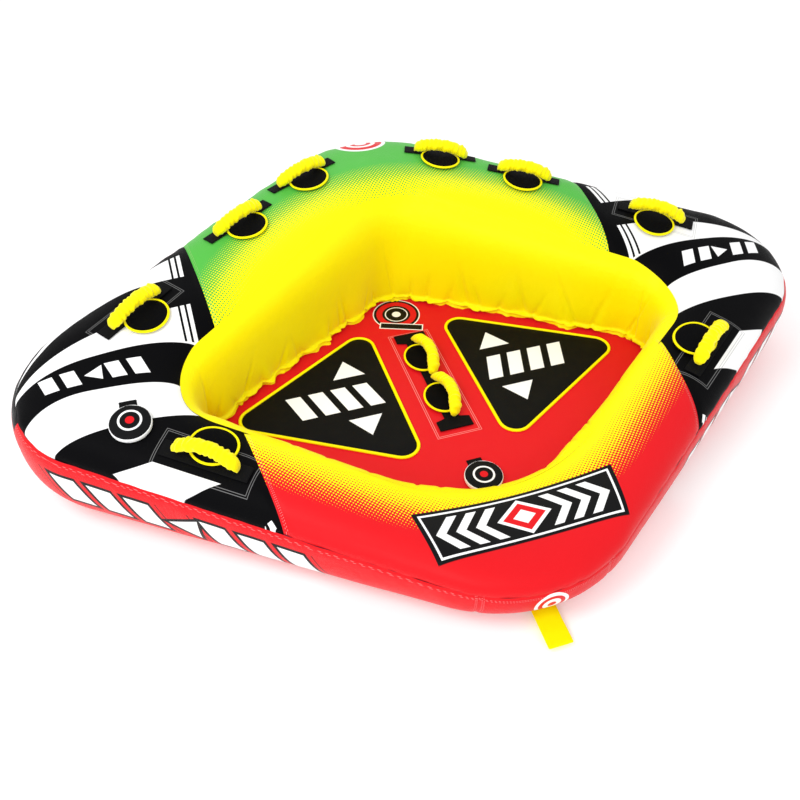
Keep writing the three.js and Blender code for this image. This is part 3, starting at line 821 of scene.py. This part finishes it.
ruffle_at = foot_at + np.sign(bolster_at - foot_at) * RUFFLE
wall_lengths = np.concatenate([between(bolster_at, ruffle_at, WALL_ROWS),
                               between(ruffle_at, foot_at, RUFFLE_ROWS)[:, 1:]], axis=1)
wall = surface(wall_lengths)
wall_normal = normals_of(wall)
from_top = wall_lengths - bolster_at[:, None]
from_foot = foot_at[:, None] - wall_lengths
share = from_top / (from_top + from_foot)
puff = np.sin(np.pi * np.clip(share, 0, 1)) ** 0.6
wall_push = is_rear * 0.008 * puff
wall_push += gathers(foot_along, foot_total, from_foot, 0.050, 0.020, 0.060)
wall_push += gathers(foot_along, foot_total, from_foot, 0.110, 0.018, 0.150)
wall_push -= creases(foot_along, foot_total, from_foot, 0.070, 0.0085, 0.150)
wall_push += is_rear * gathers(bolster_along, bolster_total, from_top, 0.075, 0.003, 0.060)
wall_push += 0.002 * waves(wall, 12, 5)
fade = 1 - bell(from_top, 0.03)
wall_push = np.maximum(wall_push, -0.0055) * fade
wall_points = wall + wall_normal * wall_push[..., None]
# The cloth ends in a loose ruffle that lies over the edge of the floor.
ruffle_width = 0.0075 + 0.0165 * flutter(foot_along, foot_total, 0.085, 11) ** 1.3
ruffle_width *= 0.55 + 0.45 * rear_share(foot_line[:, 1])
fall = np.clip(1 - from_foot / RUFFLE, 0, 1)
roll = 0.62 + 0.38 * np.sin(fall * 7.5 + 2.0 * np.sin(foot_along[:, None] * 31))
lip = np.clip(fall / 0.16, 0, 1) ** 0.7 * roll
inward = wall_normal * (1, 1, 0)
inward /= np.maximum(np.linalg.norm(inward, axis=2, keepdims=True), 1e-6)
wall_points += inward * (ruffle_width[:, None] * lip)[..., None]

band_lengths = between(seam_at, band_end_at, BAND_ROWS)
band = surface(band_lengths)
band_normal = normals_of(band)
down = seam_at[:, None] - band_lengths
up_from_end = band_lengths - band_end_at[:, None]
band_push = gathers(seam_along, seam_total, down, 0.050, 0.0030, 0.045)
band_push += gathers(seam_along, seam_total, up_from_end, 0.055, 0.0040, 0.070)
band_push -= 0.003 * bell(down, 0.008)
band_push += seam_flutter[:, None] * bell(down, 0.060)
band_push -= 0.0030 * bell(np.abs(band[..., 0]) - BAND_SPLIT, 0.007)
band_push += 0.0015 * waves(band, 10, 9)
band_points = band + band_normal * band_push[..., None]

deck_mesh = grid_mesh("deck", deck_points)
wall_mesh = grid_mesh("wall", wall_points)
band_mesh = grid_mesh("band", band_points)
deck_tree = BVHTree.FromPolygons([v.co for v in deck_mesh.vertices], [p.vertices for p in deck_mesh.polygons])

X, Y = Vector((1, 0, 0)), Vector((0, 1, 0))


def seam_plane(seam, flip=1, keep_middle=True):
    """The upright plane of a seam across the deck, whose normal points to what is cut away."""
    normal = Vector((flip, -seam["lean"], 0)).normalized()
    return Vector((flip * seam["x"], seam["y"], 0)), normal if keep_middle else -normal


# The deck is cut along its slanting seams; a side panel joins a front half and a rear half.
deck_middle, wall_end = Vector((0, CENTRE_Y, 0)), Vector((0, WALL_CLOTH_FRONT, 0))
middle_front = cut(deck_mesh, (deck_middle, Y), seam_plane(FRONT_SEAM), seam_plane(FRONT_SEAM, -1))
middle_rear = cut(deck_mesh, (deck_middle, -Y), seam_plane(REAR_SEAM), seam_plane(REAR_SEAM, -1))
wall_front = cut(wall_mesh, (wall_end, Y))
place("front_deck", joined("front_deck", middle_front, wall_front), "front", "front_deck_panel")
place("rear_deck", middle_rear, "rear", "rear_deck_panel")
for hand, flip in HANDS:
    halves = (cut(deck_mesh, (Vector(), Y), seam_plane(FRONT_SEAM, flip, keep_middle=False)),
              cut(deck_mesh, (Vector(), -Y), seam_plane(REAR_SEAM, flip, keep_middle=False)))
    place(f"{hand}_deck", joined(f"{hand}_deck", *halves), "side", f"{hand}_deck_panel")
place("backrest", cut(wall_mesh, (wall_end, -Y)), "backrest", "backrest_panel")

right_split, left_split = X * BAND_SPLIT, X * -BAND_SPLIT
for name, *planes in (("front_band", (right_split, X), (left_split, -X), (Vector(), Y)),
                      ("rear_band", (right_split, X), (left_split, -X), (Vector(), -Y)),
                      ("right_band", (right_split, -X)), ("left_band", (left_split, X))):
    place(name, cut(band_mesh, *planes), "band", f"{name}_panel")

# ---- cloth pieces made by simulation ----------------------------------------
def inflated(mesh, voxel, pressure, frames, cap):
    """Swells a closed piece of foam in its cloth, so that its faces crown; no point moves beyond the cap."""
    obj = new_object("swelling", mesh.copy())
    remesh = obj.modifiers.new("remesh", "REMESH")
    remesh.mode = "VOXEL"
    remesh.voxel_size = voxel
    bpy.context.view_layer.objects.active = obj
    bpy.ops.object.modifier_apply(modifier="remesh")
    rest = vertex_array(obj.data, "co")
    cloth = obj.modifiers.new("cloth", "CLOTH")
    cloth.settings.use_pressure = True
    cloth.settings.uniform_pressure_force = pressure
    cloth.settings.effector_weights.gravity = 0
    cloth.settings.quality = 6
    cloth.settings.mass = 0.2
    cloth.collision_settings.use_self_collision = False
    cloth.point_cache.frame_start = 1
    cloth.point_cache.frame_end = frames
    for step in range(1, frames + 1):
        bpy.context.scene.frame_set(step)
    graph = bpy.context.evaluated_depsgraph_get()
    now = vertex_array(obj.evaluated_get(graph).to_mesh(), "co")
    obj.evaluated_get(graph).to_mesh_clear()
    bpy.context.scene.frame_set(1)
    obj.modifiers.remove(cloth)
    shift = now - rest
    length = np.linalg.norm(shift, axis=1, keepdims=True)
    shift *= np.minimum(1, cap / np.maximum(length, 1e-9))
    obj.data.vertices.foreach_set("co", (rest + shift).ravel())
    obj.modifiers.new("smooth", "SUBSURF")
    bpy.ops.object.modifier_apply(modifier="smooth")
    result = obj.data.copy()
    bpy.data.objects.remove(obj)
    return smooth_shaded(result)


# ---- seat floor and pads ----------------------------------------------------
def flat_sheet(name, line, height, rings, push=0.0, wrinkle=0.0):
    """A sheet from its edge line to the middle of the seat, with small waves that grow towards its edge."""
    share = np.linspace(0, 1, rings) ** 0.7
    centre = np.array([0.0, CENTRE_Y])
    xy = centre + (line[:, None] - centre) * share[None, :, None]
    points = np.empty(xy.shape[:2] + (3,))
    points[..., :2] = xy
    along, total = perimeter(np.column_stack([line, np.zeros(len(line))]))
    from_edge = (1 - share)[None, :] * np.linalg.norm(line - centre, axis=1)[:, None]
    points[..., 2] = height + push * (1 - (1 - np.clip(from_edge / 0.05, 0, 1)) ** 2)
    points[..., 2] += wrinkle * gathers(along, total, from_edge, 0.07, 1.0, 0.05)
    return joined(name, grid_mesh(name, points))


# The floor runs a little way under the wall.
seat_floor = flat_sheet("seat_floor", cockpit_line * 1.014, SEAT_TOP - 0.001, 46, push=0.0012, wrinkle=0.0008)
place("seat_floor", seat_floor, "seat", "seat_panel")

PAD = dict(inner=0.1365, tip=0.695, half=0.336, middle=-0.004, radius=0.052)


def pad_outline(inset=0.0, steps=14):
    """The rounded triangle of the right-hand pad."""
    inner, middle, half = PAD["inner"], PAD["middle"], PAD["half"]
    corners = np.array([(inner, middle - half), (PAD["tip"], middle), (inner, middle + half)])
    points = []
    for i, corner in enumerate(corners):
        before, after = corners[i - 1] - corner, corners[(i + 1) % 3] - corner
        before, after = before / np.linalg.norm(before), after / np.linalg.norm(after)
        half_angle = math.acos(np.clip(before @ after, -1, 1)) / 2
        bisector = (before + after) / np.linalg.norm(before + after)
        centre = corner + bisector * PAD["radius"] / math.sin(half_angle)
        start = corner + before * PAD["radius"] / math.tan(half_angle) - centre
        end = corner + after * PAD["radius"] / math.tan(half_angle) - centre
        a, b = math.atan2(start[1], start[0]), math.atan2(end[1], end[0])
        if b < a:
            b += 2 * math.pi
        for t in np.linspace(a, b, steps):
            points.append(centre + (PAD["radius"] - inset) * unit(t))
    return np.array(points)


def resampled(points, count):
    """The same closed line, with evenly spaced points."""
    along, total = perimeter(points)
    at = np.linspace(0, total, count, endpoint=False)
    return np.column_stack([np.interp(at, along, points[:, k], period=total) for k in range(2)])


def outward(line):
    """Unit normals, to the right of its direction, along a closed flat line."""
    ahead = np.roll(line, -1, 0) - np.roll(line, 1, 0)
    ahead /= np.linalg.norm(ahead, axis=1, keepdims=True)
    return np.column_stack([ahead[:, 1], -ahead[:, 0]])


def ribbon(name, line, profile):
    """Sweeps a small closed profile, (outwards, up), round a closed plan line."""
    out = outward(line)
    points = np.array([[[*(p + o * a), b] for a, b in profile] for p, o in zip(line, out)])
    return grid_mesh(name, points, wrap_columns=True)


def ring_profile(half_width, half_height, height, sides=10):
    turn = full_turn(sides)
    return [(half_width * math.cos(t), height + half_height * math.sin(t)) for t in turn]


pad_edge = resampled(pad_outline(0.005), 160)
pad_centre = pad_edge.mean(0)
pad_share = np.array([0, 0.3, 0.6, 0.85, 0.95, 0.985, 1.0, 1.0])
pad_height = np.array([0.0060, 0.0060, 0.0058, 0.0052, 0.0042, 0.003, 0.0015, 0.0])
pad_points = np.empty((len(pad_edge), len(pad_share), 3))
pad_points[..., :2] = pad_centre + (pad_edge[:, None] - pad_centre) * pad_share[None, :, None]
pad_points[..., 2] = SEAT_TOP + 0.001 + pad_height
pad_mesh = joined("pad", grid_mesh("pad", pad_points))
pad_roll = ring_profile(0.0055, 0.0042, SEAT_TOP + 0.003)
piping_mesh = ribbon("pad_piping", resampled(pad_outline(), 160), pad_roll)
for hand, flip in HANDS:
    side = Matrix.Scale(flip, 4, (1, 0, 0))
    place(f"{hand}_seat_pad", pad_mesh, "pad", at=side)
    place(f"{hand}_pad_piping", piping_mesh, "piping", slot="yellow_cloth", at=side)

# ---- handles ----------------------------------------------------------------
def deck_point(x, y):
    return deck_tree.ray_cast(Vector((x, y, 2)), Vector((0, 0, -1)))[0]


def frame_matrix(point, normal, direction):
    z = normal.normalized()
    x = (direction - z * direction.dot(z)).normalized()
    y = z.cross(x)
    return Matrix.Translation(point) @ Matrix((x, y, z)).transposed().to_4x4()


def deck_frame(x, y, direction):
    """A handle's frame on the deck, from the points under its two ends and to either side."""
    along = Vector(direction).normalized() * GRIP_SPAN / 2
    start, end = (deck_point(x + s * along.x, y + s * along.y) for s in (-1, 1))
    low, high = (deck_point(x - s * along.y * 0.3, y + s * along.x * 0.3) for s in (-1, 1))
    run = end - start
    normal = run.cross(high - low)
    if normal.z < 0:
        normal.negate()
    return frame_matrix((start + end) / 2, normal, run)


def draped(mesh, matrix):
    """A flat piece laid over the deck's curve, in the tube's frame."""
    copy = mesh.copy()
    up = matrix.to_3x3() @ Vector((0, 0, 1))
    back = matrix.inverted()
    for vertex in copy.vertices:
        start = matrix @ Vector((vertex.co.x, vertex.co.y, 0.15))
        hit = deck_tree.ray_cast(start, -up)[0]
        rise = (back @ hit).z if hit else 0.0
        vertex.co = matrix @ (vertex.co + Vector((0, 0, rise)))
    return copy


def strap_mesh(name, half_length, half_width, thick, ends=None):
    """A webbing strap along x, with wider pads at its ends if given: (length, half width)."""
    along = np.linspace(-half_length, half_length, 60)
    across, up = webbing_section(1, thick / 2)
    wide = np.full(len(along), half_width)
    if ends:
        wide[np.abs(along) > half_length - ends[0]] = ends[1]
    points = np.empty((len(along), len(up), 3))
    points[..., 0] = along[:, None]
    points[..., 1] = wide[:, None] * across
    points[..., 2] = thick / 2 + up
    return capped(name, points)


def grip_mesh():
    """The foam grip in its own frame: x along the hinge line at z = 0, and the arch rises along z."""
    rings, sides = 41, 20
    s = np.linspace(0, 1, rings)
    rise = np.sin(np.pi * s) ** 0.65
    centre = np.column_stack([GRIP_SPAN * (s - 0.5), np.zeros(rings), GRIP_RISE * rise])
    ahead = np.gradient(centre, axis=0)
    ahead /= np.linalg.norm(ahead, axis=1, keepdims=True)
    ahead[0] = ahead[-1] = (1, 0, 0)
    up = np.column_stack([-ahead[:, 2], np.zeros(rings), ahead[:, 0]])
    full = np.clip(np.sin(np.pi * s) * 2.8, 0, 1) ** 0.7
    broad = np.clip(np.sin(np.pi * s) * 4.0, 0, 1) ** 0.6
    turn = full_turn(sides)
    thick = 0.0035 + 0.0130 * full
    wide = 0.0100 + 0.0120 * broad
    fold = 0.5 * np.sin(s * 41)[:, None] * np.cos(turn + 1.0)
    fold += 0.5 * np.sin(s * 73 + 1.3)[:, None] * np.cos(2 * turn)
    points = centre[:, None] + up[:, None] * (thick[:, None] * np.cos(turn) * (1 + 0.05 * fold))[..., None]
    points[..., 1] += wide[:, None] * np.sin(turn) * (1 + 0.05 * fold)
    return capped("grip", points)


grip_shape = inflated(grip_mesh(), voxel=0.0030, pressure=4.0, frames=16, cap=0.005)


def crumple(mesh, depth, seed):
    """Small wrinkles of a loose sleeve over foam."""
    points, normals = vertex_array(mesh, "co"), vertex_array(mesh, "normal")
    rng = np.random.default_rng(seed)
    total = np.zeros(len(points))
    for _ in range(9):
        direction = rng.normal(size=3) * (1.6, 0.5, 0.8)
        total += np.sin(points @ (direction * 150) + rng.uniform(0, 6.28))
    points += normals * (depth * total / 3)[:, None]
    mesh.vertices.foreach_set("co", points.ravel())
    mesh.update()
    return mesh


crumple(grip_shape, depth=0.0017, seed=4)
deck_strap = strap_mesh("strap", GRIP_SPAN / 2 + 0.034, STRAP_WIDTH / 2, STRAP_THICK)
guard_z = LIFT + STRAP_THICK + 0.0015


def guard_meshes(along, across):
    """An oval foam pad with a rolled edge, and the yellow piping round it."""
    profile = [(0, 0.0), (0.9, 0.0), (0.97, 0.001), (0.99, 0.003), (0.94, 0.0052), (0.8, 0.0062),
               (0.4, 0.0068), (0, 0.007)]
    pad = lathe_mesh("guard", profile, 56)
    pad.transform(Matrix.Diagonal((along, across, 1, 1)))
    turn = full_turn(72)
    line = np.column_stack([along * np.cos(turn), across * np.sin(turn)])
    return pad, ribbon("piping", line, ring_profile(0.0038, 0.0036, 0.0036))


joints = {joint["child"]: joint for joint in frame["joints"]}


def grip_frame(node):
    """The grip's own frame: its hinge line from the joint, and the way it leans from its solid."""
    joint = joints[node]
    origin = Vector(joint["pos_m"])
    axis = Vector(joint["axis"]).normalized()
    corners = [v.co for v in frame["nodes"][node].data.vertices]
    middle = sum(corners, Vector()) / len(corners)
    lean = middle - origin
    lean -= axis * lean.dot(axis)
    return frame_matrix(origin, lean, axis)


def place_grip(name):
    node = f"{name}_grip"
    place(f"{name}_foam", grip_shape, "grip", node, body=node, at=grip_frame(node))


shifted = Matrix.Translation
guard_pad, guard_piping = guard_meshes(GUARD_ALONG, GUARD_ACROSS)
for kind, ((x, y), runs) in DECK_HANDLES.items():
    for hand, flip in HANDS:
        name = f"{hand}_{kind}"
        matrix = deck_frame(flip * x, y, (flip * runs[0], runs[1], 0))
        across = matrix.to_3x3() @ Y
        to_seat = 1 if across.dot(Vector((-flip * x, -y, 0))) > 0 else -1
        inboard = shifted((0, to_seat * GUARD_INBOARD, guard_z))
        strap = draped(moved(deck_strap, shifted((0, 0, LIFT))), matrix)
        place(f"{name}_webbing", strap, "strap", f"{name}_strap")
        place(f"{name}_knuckle_pad", draped(moved(guard_pad, inboard), matrix), "guard", f"{name}_guard")
        place(f"{name}_piping", draped(moved(guard_piping, inboard), matrix), "piping")
        place_grip(name)

seat_matrix = frame_matrix(Vector((0, SEAT_HANDLE_Y, SEAT_TOP)), Vector((0, 0, 1)), Y)
seat_strap = strap_mesh("seat_strap", 0.245, STRAP_WIDTH / 2, STRAP_THICK, ends=(0.048, 0.056))
place("seat_webbing", seat_strap, "strap", "seat_handle_strap", at=seat_matrix @ shifted((0, 0, LIFT)))
seat_guard_pad, seat_guard_piping = guard_meshes(0.068, 0.056)
for name, offset in (("seat_front", -SEAT_HANDLE_APART), ("seat_rear", SEAT_HANDLE_APART)):
    at = seat_matrix @ shifted((offset, 0, guard_z))
    place(f"{name}_knuckle_pad", seat_guard_pad, "guard", f"{name}_guard", at=at)
    place(f"{name}_piping", seat_guard_piping, "piping", at=at)
    place_grip(name)

# ---- valves -----------------------------------------------------------------
def valve_frame(cap):
    """A valve's frame: on its cap's turning axis."""
    joint = joints[cap]
    axis = Vector(joint["axis"]).normalized()
    return frame_matrix(Vector(joint["pos_m"]), axis, Vector((0, -1, 0)))


cover_profile = rounded_profile([
    (0, 0.0225), (0.056, 0.0215), (0.056, 0.0045), (0.060, 0.0045), (0.0605, 0.0235),
    (0.0, 0.0265)], 0.006, 5)
cover_shape = crumple(lathe_mesh("cover", cover_profile, 96), 0.0004, 8)
binding_shape = lathe_mesh("binding", [(0.0600, 0.0042), (0.0612, 0.0045), (0.0618, 0.0080), (0.0622, 0.0140),
                                       (0.0618, 0.0185), (0.0606, 0.0212), (0.0592, 0.0204), (0.0598, 0.0090),
                                       (0.0600, 0.0042)], 96)
base_shape = lathe_mesh("base", rounded_profile([
    (0.020, -0.014), (0.024, -0.014), (0.024, 0.0025), (0.050, 0.0025), (0.050, 0.0037), (0.026, 0.0040),
    (0.026, 0.009), (0.020, 0.009), (0.020, -0.014)], 0.0006, 2), 72)
stem_shape = lathe_mesh("stem", rounded_profile([
    (0.0, -0.010), (0.019, -0.010), (0.019, -0.007), (0.004, -0.007), (0.004, 0.006),
    (0.0, 0.006)], 0.0008, 3), 48)
cap_shape = lathe_mesh("cap", rounded_profile([
    (0.0, 0.010), (0.0264, 0.010), (0.0264, 0.0043), (0.030, 0.0043), (0.030, 0.017), (0.010, 0.017),
    (0.008, 0.0155), (0.0, 0.0155)], 0.001, 3), 120)
for vertex in cap_shape.vertices:
    radius = math.hypot(vertex.co.x, vertex.co.y)
    if radius > 0.0285:
        knurl = 1 - 0.018 * (math.cos(30 * math.atan2(vertex.co.y, vertex.co.x)) > 0.3)
        vertex.co.x *= knurl
        vertex.co.y *= knurl
hinge_shape = strap_mesh("cover_hinge", 0.016, 0.024, 0.0015)
HINGE_OUT, HINGE_UP = -0.066, 0.0010
COVER_SHARE = Matrix.Diagonal((0.93, 0.93, 0.86, 1))
for name in ("ring", "seat"):
    valve = f"{name}_valve"
    matrix = valve_frame(f"{valve}_cap")
    cover = f"{valve}_cover"
    looks[cover] = cover_material(f"{name}_cover_cloth", matrix.translation), "cover_cloth"
    snug = matrix @ COVER_SHARE
    place(f"{valve}_lid", cover_shape, cover, cover, body=cover, at=snug)
    place(f"{valve}_binding", binding_shape, "edge", body=cover, at=snug)
    hinge = moved(hinge_shape, shifted((HINGE_OUT, 0, HINGE_UP)))
    hinge = draped(hinge, matrix) if name == "ring" else moved(hinge, matrix)
    place(f"{valve}_hinge", hinge, "strap", slot="cover_cloth")
    place(f"{valve}_neck", base_shape, "plastic", f"{valve}_base", at=matrix)
    place(f"{valve}_poppet", stem_shape, "stem", f"{valve}_stem", at=matrix)
    place(f"{valve}_screw_cap", cap_shape, "plastic", f"{valve}_cap", body=f"{valve}_cap", at=matrix)

# ---- bottom sheet and zip ---------------------------------------------------
band_foot = band_points[:, -1, :2]
bottom = flat_sheet("bottom_sheet", band_foot * 1.001, 0.0028, 24, wrinkle=0.0004)
place("bottom_sheet", bottom, "bottom", "bottom_panel")
ZIP = dict(half_length=0.378, y=0.300, half_width=0.0145, tooth=0.0035, pitch=0.005)


def boxes_mesh(name, boxes):
    """Small chamfered blocks: (centre, half sizes)."""
    work = bmesh.new()
    for centre, half in boxes:
        made = bmesh.ops.create_cube(work, size=2)["verts"]
        for vertex in made:
            vertex.co = Vector([c + v * h for c, v, h in zip(centre, vertex.co, half)])
    bmesh.ops.bevel(work, geom=work.edges[:], offset=0.0004, segments=2, affect="EDGES")
    return finished(name, work, smooth=False)


tape = strap_mesh("zip_tape_cloth", ZIP["half_length"], ZIP["half_width"], 0.0012)
place("zip_tape_cloth", tape, "zip", "zip_tape", at=shifted((0, ZIP["y"], 0.0012)))
tooth_count = int(2 * ZIP["half_length"] / ZIP["pitch"])
teeth = [((-ZIP["half_length"] + (k + 0.5) * ZIP["pitch"], ZIP["y"] + 0.0008 * (-1) ** k, 0.0010),
          (0.0012, ZIP["tooth"], 0.0008)) for k in range(tooth_count)]
place("zip_teeth", boxes_mesh("zip_teeth", teeth), "plastic", slot="zip_plastic")
slider_low, slider_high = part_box("zip_slider")
slider_middle = (Vector(slider_low) + Vector(slider_high)) / 2
slider_half = (Vector(slider_high) - Vector(slider_low)) / 2
slider = boxes_mesh("zip_pull", [
    (slider_middle, (slider_half.x * 0.45, slider_half.y, slider_half.z)),
    (slider_middle + X * slider_half.x * 0.55, (slider_half.x * 0.42, slider_half.y * 0.5, 0.0006)),
])
place("zip_pull", slider, "plastic", "zip_slider", body="zip_slider", slot="zip_plastic")

# ---- tow straps -------------------------------------------------------------
TOW = dict(width=0.068, length=0.110, thick=0.009, web=0.003)


def tow_mesh():
    """A webbing loop, running along x from its hinge and open across its width."""
    radius = TOW["thick"] / 2 - TOW["web"] / 2
    far = TOW["length"] - TOW["thick"] / 2
    turn = np.linspace(math.pi / 2, 3 * math.pi / 2, 13)
    left = [(radius * math.cos(t), radius * math.sin(t)) for t in turn]
    lower = [(x, -radius) for x in np.linspace(0, far, 24)[1:-1]]
    right = [(far - radius * math.cos(t), -radius * math.sin(t)) for t in turn]
    upper = [(x, radius - 0.0022 * math.exp(-((x - far * 0.40) / 0.018) ** 2))
             for x in np.linspace(far, 0, 24)[1:-1]]
    path = np.array(left + lower + right + upper)
    out = outward(path)
    across, thick = webbing_section(TOW["width"] / 2, TOW["web"] / 2)
    points = np.empty((len(path), len(across), 3))
    points[..., 0] = path[:, :1] + out[:, :1] * thick
    points[..., 1] = across
    points[..., 2] = path[:, 1:] + out[:, 1:] * thick
    return joined("tow_loop", grid_mesh("tow_loop", points, wrap_columns=True))


def tow_frame(node, end):
    """On the hinge, with x along the strap as it lies at rest."""
    low, high = (Vector(corner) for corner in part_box(node))
    hinge = Vector(joints[node]["pos_m"])
    reach_y = (low.y if end < 0 else high.y) - hinge.y
    far = max(frame["nodes"][node].data.vertices, key=lambda v: end * v.co.y).co
    along = Vector((0, reach_y, far.z - hinge.z))
    return frame_matrix(hinge, Vector((0, -along.z, along.y)) * end, along)


tow_loop = tow_mesh()
for name, end in (("front", -1), ("rear", 1)):
    node = f"{name}_tow_strap"
    place(f"{name}_tow_loop", tow_loop, "tow", node, body=node, at=tow_frame(node, end))

# ---- the CAD pieces that stay -----------------------------------------------
for node, material in (("ring_air_chamber", "chamber"), ("seat_air_chamber", "chamber"),
                       ("front_tow_tab", "strap"), ("rear_tow_tab", "strap")):
    kept = frame["nodes"][node].data.materials
    kept.clear()
    kept.append(looks[material][0])

# ---- camera, light and floor ------------------------------------------------
SENSOR, FOCAL_SHARE = 36, 826.106 / 800
CAMERA_AT = (-0.7275, -1.9089, 1.9237)
camera_data = bpy.data.cameras.new("camera")
camera_data.sensor_width = SENSOR
camera_data.lens = SENSOR * FOCAL_SHARE
camera = new_object("camera", camera_data)
AZIMUTH, ELEVATION = math.radians(-17.7839), math.radians(43.5725)
back = Vector((math.sin(AZIMUTH) * math.cos(ELEVATION), -math.cos(AZIMUTH) * math.cos(ELEVATION),
               math.sin(ELEVATION)))
camera.location = CAMERA_AT
camera.rotation_euler = (-back).to_track_quat("-Z", "Y").to_euler()
camera_data.clip_start = 0.05
bpy.context.scene.camera = camera

world = bpy.data.worlds.new("world")
bpy.context.scene.world = world
bpy.context.scene.view_settings.view_transform = "Standard"
world.use_nodes = True
set_inputs(world.node_tree.nodes["Background"], {"Color": (1, 1, 1, 1), "Strength": 0.95})


def area_light(name, place_at, target, size, power):
    data = bpy.data.lights.new(name, "AREA")
    data.shape = "DISK"
    data.size = size
    data.energy = power
    light = new_object(name, data)
    light.location = place_at
    light.rotation_euler = (Vector(target) - Vector(place_at)).to_track_quat("-Z", "Y").to_euler()


area_light("key", (-2.2, -0.8, 3.2), (0, 0, 0.2), 1.6, 45)
area_light("front", (-1.6, -3.2, 2.2), (0, 0, 0.2), 1.8, 34)
area_light("back", (0.5, 3.0, 2.6), (0, 0, 0.3), 2.0, 12)

FLOOR_HALF, FLOOR_Z = 30, -0.004
floor_mesh = bpy.data.meshes.new("studio_floor")
floor_corners = [(x * FLOOR_HALF, y * FLOOR_HALF, FLOOR_Z) for x, y in ((-1, -1), (1, -1), (1, 1), (-1, 1))]
floor_mesh.from_pydata(floor_corners, [], [(0, 1, 2, 3)])
floor_material = bpy.data.materials.new("studio_floor")
floor_material.use_nodes = True
set_inputs(floor_material.node_tree.nodes["Principled BSDF"], {
    "Base Color": (0.93, 0.93, 0.93, 1), "Roughness": 0.8,
    "Emission Color": (1, 1, 1, 1), "Emission Strength": 0.12})
new_object("studio_floor", floor_mesh, floor_material)
